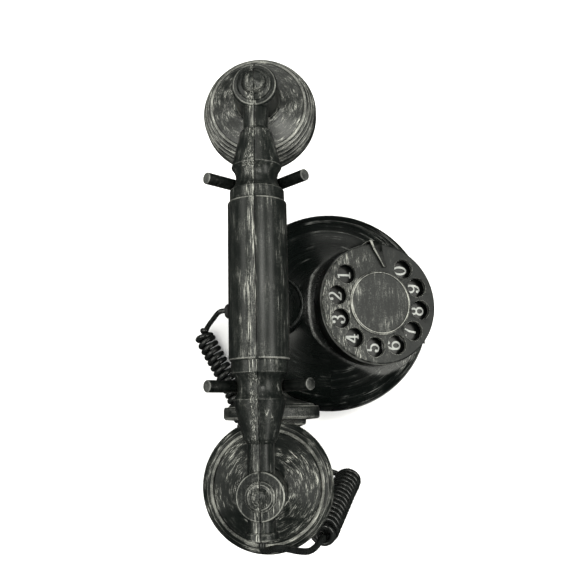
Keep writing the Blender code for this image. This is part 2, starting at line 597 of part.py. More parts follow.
def add_horn(looks, axis):
    """The pipe that leaves the mouth cup downwards and turns to its wide mouthpiece, facing +X."""
    bend = 20 * MM
    corner_x = MOUTH_X + bend
    corner_z = HORN_Z + bend
    path = [Vector((MOUTH_X, CRADLE_Y, 82.6 * MM))]
    path += [Vector((x, CRADLE_Y, z)) for x, z in arc((corner_x, corner_z), bend, pi, pi * 1.5, 6)]
    path.append(Vector((-82.3 * MM, CRADLE_Y, HORN_Z)))
    elbow = new_object("horn_elbow", rod("horn_elbow", path, 9 * MM, 14), looks["worn"], None, axis)
    inner = [path[0] + Vector((0, 0, 6 * MM))] + path[1:-1] + [path[-1] + Vector((6 * MM, 0, 0))]
    boolean(elbow, "DIFFERENCE", "elbow_bore", rod("elbow_bore", inner, 6.6 * MM, 8))
    place = Matrix.Translation((0, CRADLE_Y, HORN_Z)) @ ALONG_X
    bell = [(6.6, -82), (9.4, -82), (11, -79.6), (17, -74.4), (20.9, -72.6), (20.9, -70.6), (24, -70),
            (28.4, -70), (29.3, -69), (29.3, -63.6), (28.6, -62.4), (27.4, -62.4), (27.4, -68), (19, -69),
            (14, -73)]
    new_object("mouthpiece_bell", turned("mouthpiece_bell", in_mm(bell), MEDIUM), looks["worn"], place, axis)
    dome = [(0, -52.4), (7.6, -52.6), (8.8, -53.4), (10.6, -55.6), (15, -58), (21, -59.8), (25.6, -61),
            (27, -62.6), (27, -65), (25.4, -65), (20, -62.4), (14, -60.4), (8, -57.4), (0, -55)]
    cover = turned("mouthpiece_grille", in_mm(dome[::-1]), MEDIUM)
    grille = new_object("mouthpiece_grille", cover, looks["worn"], place, axis)
    add_sound_holes(grille, place, -60 * MM, -50 * MM, "mouth", 5)


def add_cord(looks, axis):
    bush = [(2.4, -127.4), (3.4, -127.4), (4.1, -125.8), (4.1, -117), (2.4, -117)]
    place = Matrix.Translation((0, CRADLE_Y, HANDSET_Z)) @ ALONG_X
    new_object("cord_bush", turned("cord_bush", in_mm(bush), SMALL), looks["rubber"], place, axis)
    knots = cord_knots()
    points = smooth_path([Vector(k[:3]) * MM for k in knots], 2)
    radii = [width * MM for width in smooth_values([k[3] for k in knots], 2)]
    new_object("handset_cord", swept("handset_cord", along(points, radii, 7)), looks["cord"])


def cord_knots():
    """The middle of the cord and the radius it fills: a stretched coil over the table, a bare wire under
    the mouth cup, a closed coil beside it, and the wire up to the handset."""
    level = HANDSET_Z / MM
    wire, loose, tight = 1.65, 6.8, 8.1
    start = [(2, 58, 20, wire), (2, 64, 20, wire), (2, 72.4, 20, wire), (-2.4, 78.2, 14.6, wire),
             (-8, 83.5, 9, 2.6)]
    table = [(-13, 85, 7.8), (-20, 82, 7.8), (-31, 76, 7.8), (-43, 69.5, 7.8), (-54, 64, 7.8),
             (-67, 59.5, 7.8), (-80, 52, 7.8), (-90.5, 40, 7.8), (-97.5, 27, 7.8), (-101.5, 15, 7.8)]
    bare = [(-103.5, 7, 8.2, wire), (-105.5, 0, 8.4, wire), (-108, -6, 9.8, 2.4)]
    rise = [(-109.6, -9.4, 14), (-115.4, -5.1, 29), (-121.3, -0.8, 44.3), (-127.1, 3.5, 59.6),
            (-133, 7.8, 75)]
    wire_up = [(-134.8, 8.8, 81), (-137.3, 11.5, 90), (-138.4, 15.5, 98), (-136.6, 21, 107),
               (-133.8, 26.5, 116), (-132, 31.5, 125), (-131.8, 35.6, 132), (-130, 37, level - 0.4),
               (-127, 37, level), (-119, 37, level)]
    return (start + [(*spot, loose) for spot in table] + bare + [(*spot, tight) for spot in rise]
            + [(*spot, wire) for spot in wire_up])


def smooth_path(points, steps):
    """A curve through all the points."""
    ends = [points[0] * 2 - points[1]] + points + [points[-1] * 2 - points[-2]]
    curve = []
    for a, b, c, d in zip(ends, ends[1:], ends[2:], ends[3:]):
        for i in range(steps):
            t = i / steps
            curve.append(((b * 2) + (c - a) * t + (a * 2 - b * 5 + c * 4 - d) * t * t
                          + (b * 3 - a - c * 3 + d) * t ** 3) / 2)
    return curve + [points[-1]]


def smooth_values(values, steps):
    between = [a + (b - a) * i / steps for a, b in zip(values, values[1:]) for i in range(steps)]
    return between + [values[-1]]


def make_looks():
    return {
        "black": material("satin_black", (0.012, 0.014, 0.013), 0.42, 0.0),
        "worn": material("brushed_black", (0.07, 0.075, 0.07), 0.45, 0.3),
        "gunmetal": material("gunmetal", (0.11, 0.115, 0.11), 0.42, 0.5),
        "dark_metal": material("dark_sheet", (0.03, 0.03, 0.03), 0.5, 0.6),
        "steel": material("steel", (0.5, 0.5, 0.5), 0.35, 1.0),
        "brass": material("brass", (0.6, 0.45, 0.18), 0.35, 1.0),
        "copper": material("copper_wire", (0.5, 0.2, 0.1), 0.4, 0.9),
        "bakelite": material("bakelite", (0.03, 0.02, 0.015), 0.35, 0.0),
        "rubber": material("rubber", (0.01, 0.01, 0.01), 0.8, 0.0),
        "felt": material("felt", (0.01, 0.03, 0.015), 0.95, 0.0),
        "cord": material("cord_jacket", (0.012, 0.012, 0.012), 0.45, 0.0),
    }


def main():
    clear_scene()
    looks = make_looks()
    add_base(looks)
    add_underside(looks)
    add_post(looks)
    add_base_fittings(looks)
    add_ringer(looks)
    add_dial_body(looks)
    add_wheel(looks)
    add_governor(looks)
    add_cradle(looks)
    lift = new_empty("handset_lift", Matrix.Translation((0, CRADLE_Y, HANDSET_Z)))
    add_handle(looks, lift)
    add_ear_end(looks, lift)
    add_mouth_end(looks, lift)
    add_cord(looks, lift)


main()
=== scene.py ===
"""The looks of a rotary cradle telephone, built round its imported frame.

Metres, +Z up, in the frame's own axes: X runs along the handset and -Y faces the user. An outline is
in millimetres, as (radius, height) points of a turned form, with an optional fillet for each corner."""

import json
from math import atan2, ceil, cos, pi, radians, sin, tan, tau

import bmesh
import bpy
import numpy as np
from mathutils import Matrix, Vector
from mathutils.kdtree import KDTree


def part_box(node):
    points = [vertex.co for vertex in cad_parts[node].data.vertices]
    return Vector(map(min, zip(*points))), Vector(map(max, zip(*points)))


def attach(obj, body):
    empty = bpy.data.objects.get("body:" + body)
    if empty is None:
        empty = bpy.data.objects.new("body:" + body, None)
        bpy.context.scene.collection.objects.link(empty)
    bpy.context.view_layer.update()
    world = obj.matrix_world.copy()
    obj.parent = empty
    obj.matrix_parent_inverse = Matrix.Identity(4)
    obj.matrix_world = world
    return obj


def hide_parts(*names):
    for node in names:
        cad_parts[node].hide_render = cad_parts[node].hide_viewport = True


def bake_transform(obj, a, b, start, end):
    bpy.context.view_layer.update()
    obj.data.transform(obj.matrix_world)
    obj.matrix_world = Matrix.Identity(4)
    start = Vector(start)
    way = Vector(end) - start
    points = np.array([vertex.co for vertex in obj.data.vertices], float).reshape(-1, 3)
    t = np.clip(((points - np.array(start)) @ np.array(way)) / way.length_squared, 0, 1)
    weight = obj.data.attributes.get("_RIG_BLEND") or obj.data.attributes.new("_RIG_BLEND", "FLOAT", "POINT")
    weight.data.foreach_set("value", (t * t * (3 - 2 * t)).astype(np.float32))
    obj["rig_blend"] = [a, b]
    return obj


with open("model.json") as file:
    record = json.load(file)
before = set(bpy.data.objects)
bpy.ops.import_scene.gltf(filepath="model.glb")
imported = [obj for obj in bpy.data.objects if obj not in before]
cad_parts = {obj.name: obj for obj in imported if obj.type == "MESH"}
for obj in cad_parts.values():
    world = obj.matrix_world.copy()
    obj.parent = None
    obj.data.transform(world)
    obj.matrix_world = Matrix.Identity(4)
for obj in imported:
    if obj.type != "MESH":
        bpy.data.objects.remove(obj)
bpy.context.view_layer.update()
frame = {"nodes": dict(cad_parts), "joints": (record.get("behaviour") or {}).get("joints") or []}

MM = 0.001

# How finely round forms are drawn
FINE = 160
MEDIUM = 96
SMALL = 48
ARC_STEP = radians(15)

# Corners: the usual fillet, how far the paint is rubbed off on each side of one, the least turn that
# counts as a corner, the turn that is fully worn, and the angle from which an edge is drawn sharp
FILLET = 0.35
RUBBED = 0.5
SHARP_TURN = radians(12)
WORN_TURN = radians(50)
SHARP_EDGE = radians(34)
SAME_SPOT = 2e-6

# Places, read from the frame
JOINTS = {joint["name"]: joint for joint in frame["joints"]}
DIAL_CENTRE = Vector(JOINTS["dial_rotation"]["pos_m"])
DIAL_NORMAL = -Vector(JOINTS["dial_rotation"]["axis"])
DIAL_TILT = atan2(-DIAL_NORMAL.y, DIAL_NORMAL.z)
DIAL_FOOT = Vector((0, DIAL_CENTRE.y / MM))
DIAL_PLACE = Matrix.Translation(DIAL_CENTRE) @ Matrix.Rotation(DIAL_TILT, 4, "X")


def middle(node):
    low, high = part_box(node)
    return (low + high) / 2


POST = middle("cradle_post")
EAR = middle("ear_cap")
MOUTH = middle("mouth_plate")
AXIS_Z = middle("cord_bush").z
HORN_Z = middle("mouthpiece_bell").z
FORK_X = middle("fork_right").x
FORK_LOW, FORK_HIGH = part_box("fork_right")
GROMMET = middle("cord_grommet")

HERE = Matrix.Identity(4)
ALONG_X = Matrix.Rotation(pi / 2, 4, "Y")
ALONG_Y = Matrix.Rotation(-pi / 2, 4, "X")
POST_PLACE = Matrix.Translation((0, POST.y, 0))
EAR_PLACE = Matrix.Translation((EAR.x, EAR.y, 0))
MOUTH_PLACE = Matrix.Translation((MOUTH.x, MOUTH.y, 0))
HANDLE_PLACE = Matrix.Translation((0, POST.y, AXIS_Z)) @ ALONG_X
HORN_PLACE = Matrix.Translation((0, POST.y, HORN_Z)) @ ALONG_X

# Base
BUN_BELLY = ((56, 4), (61, 7), (64.6, 12), (66, 19), (65, 24.6), (61.9, 29.2), (56.8, 33.2))
BUN_DOME = ((56.8, 33.2), (50.5, 36.5), (44, 39.2), (36, 42.9), (29, 46), (24, 48.1), (19.5, 49.5), (14, 50),
            (0, 50))
BUN_RADIUS = 66
BELLY_HEIGHT = 19
WALL = 3
COLUMNS = 288
BUN_STEPS = 26
HALVINGS = 40
DIAL_HOLE = 30
RIDGE_BLEND = 0.9
RIDGE_CORNER = radians(27)
RIDGE_CORNER_REACH = radians(16)
DISH_Y = 34
DISH_WEAR = 0.6

# Dial
HOLE_CIRCLE = 28
HOLE_RADIUS = 6
HOLE_LIP = 0.35
FIRST_HOLE = radians(50.5)
HOLE_STEP = radians(30.2)
WHEEL_LOW, WHEEL_TOP = 12.4, 14.7
RING_TOP = 8.7
DIGIT_HEIGHT = 8.8
DIGIT_RAISE = 0.35

# Cord
WIRE_SIDES = 12
STEPS_PER_TURN = 18
CORD_PITCH = 3.9

# The room's light, and how much of it shiny surfaces see
ROOM_STRENGTH = 1.4
ROOM_IN_GLOSS = 0.03

# Paint, in millimetres: the size of its patches and dust, the radius at which a round stroke has its full
# length, the radius of a rubbed edge, where and how wide the painted highlight lies beside the handle's seam,
# and the radius over which a painted light falloff makes one side lighter; then the pitch of the ringer's
# winding
PATCH_SIZE = 13
DUST_SIZE = 0.7
STROKE_RADIUS = 26
WORN_EDGE = 0.45
SEAM_HIGHLIGHT_MIDDLE = 2
SEAM_HIGHLIGHT_REACH, SEAM_HIGHLIGHT_CORE = 4, 0.5
LIGHT_FALLOFF_RADIUS = 38
COPPER_PITCH = 0.35


# ---- mesh tools


def eased(corners, closed=False):
    """Rounds the corners of an outline. Each point it returns is (radius, height, wear)."""
    points = [Vector(corner[:2]) for corner in corners]
    pairs = zip(points, points[1:] + points[:1])
    way = 1 if sum(a.x * b.y - b.x * a.y for a, b in pairs) > 0 else -1
    line = []
    for i, corner in enumerate(corners):
        here = points[i]
        if not closed and i in (0, len(corners) - 1):
            line.append((here, 0.0))
            continue
        back = points[i - 1] - here
        ahead = points[(i + 1) % len(points)] - here
        turn = pi - back.angle(ahead)
        if turn < SHARP_TURN:
            line.append((here, 0.0))
            continue
        fillet = corner[2] if len(corner) > 2 else FILLET
        run = min(fillet * tan(turn / 2), 0.45 * back.length, 0.45 * ahead.length)
        radius = run / tan(turn / 2)
        inward = (back.normalized() + ahead.normalized()).normalized()
        centre = here + inward * radius / cos(turn / 2)
        outer = ahead.cross(back)
        wear = min(turn / WORN_TURN, 1.0) if outer * way > 0 else 0.0
        first = here + back.normalized() * run - centre
        steps = max(2, ceil(turn / ARC_STEP))
        for k in range(steps + 1):
            angle = turn * k / steps * (1 if outer > 0 else -1)
            spoke = Vector((first.x * cos(angle) - first.y * sin(angle),
                            first.x * sin(angle) + first.y * cos(angle)))
            line.append((centre + spoke, wear))
    return with_fades(line, closed)


def with_fades(line, closed):
    """Adds a point just beside each worn corner, so that the wear ends there."""
    result = []
    followers = line[1:] + (line[:1] if closed else [])
    for (a, worn_a), (b, worn_b) in zip(line, followers):
        result.append((a.x, a.y, worn_a))
        gap = (b - a).length
        if gap > 2.2 * RUBBED and worn_a + worn_b > 0:
            for share in (RUBBED / gap, 1 - RUBBED / gap):
                spot = a.lerp(b, share)
                result.append((spot.x, spot.y, 0.0))
    if not closed:
        last, worn = line[-1]
        result.append((last.x, last.y, worn))
    return result


def new_tool():
    """An empty bmesh, with a layer for how worn each point is."""
    tool = bmesh.new()
    tool.verts.layers.float.new("wear")
    return tool


def finished(tool, wears=None):
    """A smooth mesh from a bmesh, facing out, with its wear as an attribute."""
    layer = tool.verts.layers.float["wear"]
    for vertex, wear in (wears or {}).items():
        vertex[layer] = wear
    bmesh.ops.recalc_face_normals(tool, faces=tool.faces)
    mesh = bpy.data.meshes.new("piece")
    tool.to_mesh(mesh)
    tool.free()
    mesh.shade_smooth()
    mesh.set_sharp_from_angle(angle=SHARP_EDGE)
    return mesh


def lathe(corners, segments=MEDIUM):
    """A form turned round Z. An outline that starts on the axis ends there, any other is a closed ring."""
    closed = corners[0][0] > 0
    tool = new_tool()
    wears = {}
    rings = []
    for radius, height, wear in eased(corners, closed):
        if radius < 1e-6:
            ring = [tool.verts.new((0, 0, height * MM))] * segments
        else:
            turns = [tau * i / segments for i in range(segments)]
            ring = [tool.verts.new((radius * cos(a) * MM, radius * sin(a) * MM, height * MM)) for a in turns]
        for vertex in ring:
            wears[vertex] = wear
        rings.append(ring)
    for ring, following in zip(rings, rings[1:] + (rings[:1] if closed else [])):
        for i in range(segments):
            j = (i + 1) % segments
            corners_here = list(dict.fromkeys((ring[i], ring[j], following[j], following[i])))
            if len(corners_here) > 2:
                tool.faces.new(corners_here)
    return finished(tool, wears)


def loft(sections, wears=None, closed=False):
    """A skin over equal sections of points, closed into a loop or by a cap at each end."""
    tool = new_tool()
    rings = [[tool.verts.new(point) for point in section] for section in sections]
    for ring, following in zip(rings, rings[1:] + (rings[:1] if closed else [])):
        for i in range(len(ring)):
            j = (i + 1) % len(ring)
            tool.faces.new((ring[i], ring[j], following[j], following[i]))
    if not closed:
        tool.faces.new(rings[0][::-1])
        tool.faces.new(rings[-1])
    marks = {}
    for ring, wear in zip(rings, wears or [0] * len(rings)):
        marks.update(dict.fromkeys(ring, wear))
    return finished(tool, marks)


def tube(points, radii, sides):
    """Round sections along a path, turned as little as possible from one to the next."""
    normal = None
    sections = []
    for i, point in enumerate(points):
        ahead = (points[min(i + 1, len(points) - 1)] - points[max(i - 1, 0)]).normalized()
        normal = normal or ahead.orthogonal()
        normal = (normal - ahead * normal.dot(ahead)).normalized()
        side = ahead.cross(normal)
        turns = [tau * k / sides for k in range(sides)]
        sections.append([point + radii[i] * (normal * cos(a) + side * sin(a)) for a in turns])
    return sections


def rounded_rod(points, radius, sides=40, fillet=0.5 * MM):
    """A rod along a path, with a small fillet and a worn rim at both ends."""
    ends = [(0, 0.7 * radius), (0.02, radius - fillet), (0.15, radius - 0.5 * fillet),
            (0.5, radius - 0.15 * fillet), (1, radius)]
    first = (points[1] - points[0]).normalized() * fillet
    last = (points[-2] - points[-1]).normalized() * fillet
    path = [points[0] + first * share for share, _ in ends] + [points[0] + first * 3]
    path += points[1:-1] + [points[-1] + last * 3]
    path += [points[-1] + last * share for share, _ in ends[::-1]]
    inner = [radius] * (len(points) - 2)
    radii = [r for _, r in ends] + [radius] + inner + [radius] + [r for _, r in ends[::-1]]
    face = [0.8, 0.85, 1, 0.9, 0.5]
    wears = face + [0] * (len(inner) + 2) + face[::-1]
    return loft(tube(path, radii, sides), wears)


def smooth_path(points, steps):
    """A curve through all the points."""
    ends = [points[0] * 2 - points[1]] + points + [points[-1] * 2 - points[-2]]
    curve = []
    for a, b, c, d in zip(ends, ends[1:], ends[2:], ends[3:]):
        for i in range(steps):
            t = i / steps
            curve.append(((b * 2) + (c - a) * t + (a * 2 - b * 5 + c * 4 - d) * t * t
                          + (b * 3 - a - c * 3 + d) * t ** 3) / 2)
    return curve + [points[-1]]


def through(corners, steps=5):
    """A smooth outline through (radius, height) points, none of whose corners is rounded again."""
    return [(p.x, p.y, 0) for p in smooth_path([Vector(corner) for corner in corners], steps)]


def linked(name, data):
    """A new object in the scene."""
    obj = bpy.data.objects.new(name, data)
    bpy.context.scene.collection.objects.link(obj)
    return obj


def evaluated(obj):
    """The mesh that an object's modifiers make of it."""
    bpy.context.view_layer.update()
    graph = bpy.context.evaluated_depsgraph_get()
    return bpy.data.meshes.new_from_object(obj.evaluated_get(graph))


def combined(mesh, operation, others):
    """The mesh after a Boolean with each of the others."""
    target = linked("target", mesh)
    helpers = []
    for other in others:
        helper = linked("helper", other)
        step = target.modifiers.new("step", "BOOLEAN")
        step.operation = operation
        step.object = helper
        step.solver = "EXACT"
        helpers.append(helper)
    result = evaluated(target)
    carry_wear([mesh] + others if operation == "UNION" else [mesh], result)
    for obj in [target] + helpers:
        bpy.data.objects.remove(obj)
    result.shade_smooth()
    result.set_sharp_from_angle(angle=SHARP_EDGE)
    return result


def carry_wear(sources, result):
    """Gives each point the wear of the same point before the Boolean, and a new point none."""
    points = KDTree(sum(len(source.vertices) for source in sources))
    wears = []
    for source in sources:
        for vertex, wear in zip(source.vertices, source.attributes["wear"].data):
            points.insert(vertex.co, len(wears))
            wears.append(wear.value)
    points.balance()
    for vertex, wear in zip(result.vertices, result.attributes["wear"].data):
        _, index, distance = points.find(vertex.co)
        wear.value = wears[index] if distance < SAME_SPOT else 0.0


def placed(mesh, place):
    mesh.transform(place)
    return mesh


def moved(mesh, x, y):
    """The mesh moved by millimetres."""
    return placed(mesh, Matrix.Translation((x * MM, y * MM, 0)))


def solidified(mesh, thickness):
    """Gives an open skin its thickness, inwards."""
    obj = linked("skin", mesh)
    step = obj.modifiers.new("step", "SOLIDIFY")
    step.thickness = thickness
    step.offset = -1
    result = evaluated(obj)
    bpy.data.objects.remove(obj)
    return result


def box_mesh(low, high):
    tool = new_tool()
    bmesh.ops.create_cube(tool, size=1)
    bmesh.ops.scale(tool, vec=Vector(high) - Vector(low), verts=tool.verts)
    bmesh.ops.translate(tool, vec=(Vector(high) + Vector(low)) / 2, verts=tool.verts)
    return finished(tool)


def add_piece(node, mesh, look, place, body, name=None, replaces=True):
    """A visible piece that rides on a body, and stands for the CAD node it is named after."""
    obj = linked(name or f"{node}_look", mesh)
    obj.matrix_world = place
    finish, slot = look
    mesh.materials.clear()
    mesh.materials.append(finish)
    if replaces:
        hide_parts(node)
    if body:
        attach(obj, body)
    return obj


# ---- materials


def feed(tree, socket, value):
    """Links a node's output to a socket, or sets the socket to a value."""
    if isinstance(value, bpy.types.NodeSocket):
        tree.links.new(value, socket)
    else:
        socket.default_value = value


def add_node(tree, kind, inputs=None, **settings):
    """A shader node; an input may be a value or another node's output."""
    made = tree.nodes.new("ShaderNode" + kind)
    for key, value in settings.items():
        setattr(made, key, value)
    for key, value in (inputs or {}).items():
        feed(tree, made.inputs[key], value)
    return made


def maths(tree, operation, a, b=0.0):
    return add_node(tree, "Math", {0: a, 1: b}, operation=operation).outputs[0]


def plus(tree, a, b):
    return maths(tree, "ADD", a, b)


def times(tree, a, b):
    return maths(tree, "MULTIPLY", a, b)


def rising(tree, value, low, high):
    """0 below low, 1 above high, and smooth between."""
    inputs = {"Value": value, "From Min": low, "From Max": high}
    return add_node(tree, "MapRange", inputs, interpolation_type="SMOOTHSTEP").outputs[0]


def blended(tree, share, a, b):
    """A colour between a and b, each (r, g, b) or a node's output."""
    mix = add_node(tree, "Mix", data_type="RGBA")
    feed(tree, mix.inputs[0], share)
    for socket, color in ((mix.inputs[6], a), (mix.inputs[7], b)):
        feed(tree, socket, (*color, 1) if isinstance(color, tuple) else color)
    return mix.outputs[2]


def noise(tree, vector, scale, detail=3.0, roughness=0.55):
    inputs = {"Vector": vector, "Scale": scale, "Detail": detail, "Roughness": roughness}
    return add_node(tree, "TexNoise", inputs).outputs[0]


def bumped(tree, height, strength, depth):
    """A surface normal from a height; the depth is in millimetres."""
    inputs = {"Strength": strength, "Distance": depth * MM, "Height": height}
    return add_node(tree, "Bump", inputs).outputs[0]


def split_place(tree):
    """Object coordinates, whole and split into x, y and z."""
    place = add_node(tree, "TexCoord").outputs["Object"]
    return place, add_node(tree, "SeparateXYZ", {0: place}).outputs


def grain(tree, direction, across, along):
    """Where the brush went: object coordinates stretched along the stroke, sizes in millimetres."""
    place, parts = split_place(tree)
    if direction == "round":
        angle = maths(tree, "ARCTAN2", parts[1], parts[0])
        flat = add_node(tree, "CombineXYZ", {0: parts[0], 1: parts[1], 2: 0.0}).outputs[0]
        radius = add_node(tree, "VectorMath", {0: flat}, operation="LENGTH").outputs["Value"]
        rings = times(tree, radius, 1 / (across * MM))
        levels = times(tree, parts[2], 1 / (across * MM))
        turn = times(tree, angle, STROKE_RADIUS / along)
        return add_node(tree, "CombineXYZ", {0: rings, 1: levels, 2: turn}).outputs[0]
    sizes = [across, across, across]
    sizes["xyz".index(direction)] = along
    scaled = {"Vector": place, "Scale": [1 / (size * MM) for size in sizes]}
    return add_node(tree, "Mapping", scaled).outputs[0]


def edge_mask(tree, source):
    """1 on worn edges: from the mesh's own wear attribute, or from rounded corners found by the renderer."""
    if source == "wear":
        return add_node(tree, "Attribute", attribute_name="wear").outputs["Fac"]
    rounded = add_node(tree, "Bevel", {"Radius": WORN_EDGE * MM}, samples=6).outputs[0]
    normal = add_node(tree, "NewGeometry").outputs["Normal"]
    same = add_node(tree, "VectorMath", {0: rounded, 1: normal}, operation="DOT_PRODUCT").outputs["Value"]
    return rising(tree, maths(tree, "SUBTRACT", 1.0, same), 0.004, 0.09)


def paint_and_light_spread(tree, broad, patch, seam, light_falloff):
    """Where most paint is, and where light is painted: paint in broad streaks and patches. Seam adds a
    painted highlight beside the plane y = 0, and the last argument a painted light falloff, lighter towards
    +Y; both in the object's own axes."""
    level = split_place(tree)[1][1]
    paint_and_light = plus(tree, times(tree, broad, 0.55), times(tree, patch, 0.45))
    # Painted highlight: extra silver in a band beside the handle's seam
    if seam:
        away = maths(tree, "ABSOLUTE", maths(tree, "SUBTRACT", level, SEAM_HIGHLIGHT_MIDDLE * MM))
        seam_highlight = rising(tree, away, SEAM_HIGHLIGHT_REACH * MM, SEAM_HIGHLIGHT_CORE * MM)
        paint_and_light = plus(tree, paint_and_light, times(tree, seam_highlight, seam))
    # Painted light falloff: more silver, so lighter, towards +Y
    if light_falloff:
        paint_and_light = plus(tree, paint_and_light, times(tree, level, light_falloff / (LIGHT_FALLOFF_RADIUS * MM)))
    return paint_and_light


def new_material(name):
    """A node material, and its node tree."""
    mat = bpy.data.materials.new(name)
    mat.use_nodes = True
    return mat, mat.node_tree


def finish_surface(tree, color, roughness, normal, metallic=0.0, sheen=0.5):
    surface = tree.nodes["Principled BSDF"]
    surface.inputs["Specular IOR Level"].default_value = sheen
    values = {"Base Color": color, "Roughness": roughness, "Normal": normal, "Metallic": metallic}
    for key, value in values.items():
        feed(tree, surface.inputs[key], value)


def worn_paint(name, ground, tint, silver, direction, cover, edge, source="wear", gloss=0.36, fine=0.28,
               length=16.0, haze=0.25, seam=0.0, light_falloff=0.0, sheen=0.3):
    """Dark moulded plastic, dry-brushed with silver: streaks along the brush, collected in patches, rubbed
    edges, and a haze of fine metal dust. Seam adds a painted highlight of silver beside the handle's seam,
    and the setting after it a painted light falloff, lighter to one side."""
    mat, tree = new_material(name)
    place = split_place(tree)[0]
    streak = noise(tree, grain(tree, direction, fine, length), 1.0, 6.0, 0.7)
    broad = noise(tree, grain(tree, direction, fine * 5, length * 1.6), 1.0, 3.0)
    patch = noise(tree, place, 1 / (PATCH_SIZE * MM), 3.0)
    dust = noise(tree, place, 1 / (DUST_SIZE * MM), 3.0, 0.7)
    # Paint patches, with the painted highlight and the painted light falloff added in
    paint_and_light = paint_and_light_spread(tree, broad, patch, seam, light_falloff)
    where = rising(tree, paint_and_light, 0.62 - 0.2 * cover, 0.76 - 0.12 * cover)
    strokes = times(tree, rising(tree, streak, 0.52, 0.62), where)
    cloud = rising(tree, paint_and_light, 0.36, 0.72)
    powder = times(tree, rising(tree, dust, 0.42, 0.72), times(tree, cloud, haze))
    broken = plus(tree, times(tree, dust, 0.5), times(tree, patch, 0.7))
    rubbed = times(tree, rising(tree, times(tree, edge_mask(tree, source), broken), 0.36, 0.78), edge)
    paint = plus(tree, strokes, plus(tree, powder, rubbed))
    metal = add_node(tree, "Clamp", {"Value": paint}).outputs[0]
    color = blended(tree, metal, blended(tree, patch, ground, tint), silver)
    relief = plus(tree, times(tree, streak, 0.35), times(tree, metal, 0.4))
    relief = plus(tree, relief, times(tree, dust, 0.2))
    roughness = plus(tree, times(tree, broad, 0.16), gloss - 0.08)
    roughness = plus(tree, roughness, times(tree, metal, 0.12))
    normal = bumped(tree, relief, 0.25, 0.08)
    finish_surface(tree, color, roughness, normal, times(tree, metal, 0.5), sheen)
    return mat


def metal_stock(name, color, dark, gloss, direction="round"):
    """Bare metal with turning or rolling marks and a little tarnish."""
    mat, tree = new_material(name)
    marks = noise(tree, grain(tree, direction, 0.2, 30.0), 1.0, 4.0)
    tarnish = noise(tree, split_place(tree)[0], 1 / (6 * MM), 4.0)
    shade = blended(tree, rising(tree, tarnish, 0.35, 0.75), color, dark)
    roughness = plus(tree, times(tree, marks, 0.25), gloss)
    finish_surface(tree, shade, roughness, bumped(tree, marks, 0.2, 0.03), 1.0)
    return mat


def soft_stock(name, color, light, rough, size, strength, depth):
    """Felt, rubber, jacket or bakelite: a mottled colour under a bump of its own grain size."""
    mat, tree = new_material(name)
    place = split_place(tree)[0]
    fibres = noise(tree, place, 1 / (size * MM), 5.0, 0.7)
    mottle = noise(tree, place, 1 / (9 * size * MM), 3.0)
    mix = times(tree, plus(tree, fibres, mottle), 0.5)
    shade = blended(tree, rising(tree, mix, 0.35, 0.7), color, light)
    roughness = plus(tree, times(tree, mottle, 0.2), rough - 0.1)
    finish_surface(tree, shade, roughness, bumped(tree, fibres, strength, depth))
    return mat


def wound_copper():
    """Enamelled copper wire in close turns round the coil."""
    mat = metal_stock("wound_copper", (0.42, 0.16, 0.07), (0.2, 0.07, 0.03), 0.25)
    tree = mat.node_tree
    height = split_place(tree)[1][2]
    turns = maths(tree, "SINE", times(tree, height, tau / (COPPER_PITCH * MM)))
    feed(tree, tree.nodes["Principled BSDF"].inputs["Normal"], bumped(tree, turns, 0.8, 0.1))
    return mat


def make_looks():
    """Each look is (material, the record's slot)."""
    looks = {
        "dark_metal": (metal_stock("dark_sheet", (0.05, 0.05, 0.05), (0.02, 0.02, 0.02), 0.38, "x"),
                       "dark_metal"),
        "steel": (metal_stock("steel_stock", (0.5, 0.5, 0.49), (0.3, 0.3, 0.29), 0.24), "steel"),
        "brass": (metal_stock("brass_stock", (0.55, 0.4, 0.16), (0.3, 0.2, 0.08), 0.24), "brass"),
        "copper": (wound_copper(), "copper"),
    }
    for name, (slot, ground, tint, silver, direction, cover, edge, more) in paint_settings().items():
        looks[name] = (worn_paint(f"{name}_paint", ground, tint, silver, direction, cover, edge, **more),
                       slot)
    soft_settings = {
        "bakelite": ((0.02, 0.012, 0.009), (0.05, 0.03, 0.02), 0.32, 0.8, 0.1, 0.05),
        "rubber": ((0.006, 0.006, 0.006), (0.013, 0.013, 0.013), 0.62, 0.3, 0.3, 0.05),
        "felt": ((0.006, 0.02, 0.011), (0.02, 0.045, 0.028), 0.95, 0.25, 0.9, 0.3),
        "cord": ((0.003, 0.0035, 0.0032), (0.01, 0.0115, 0.0105), 0.28, 0.5, 0.15, 0.05),
    }
    for name, settings in soft_settings.items():
        looks[name] = (soft_stock(f"{name}_stock", *settings), name)
    return looks


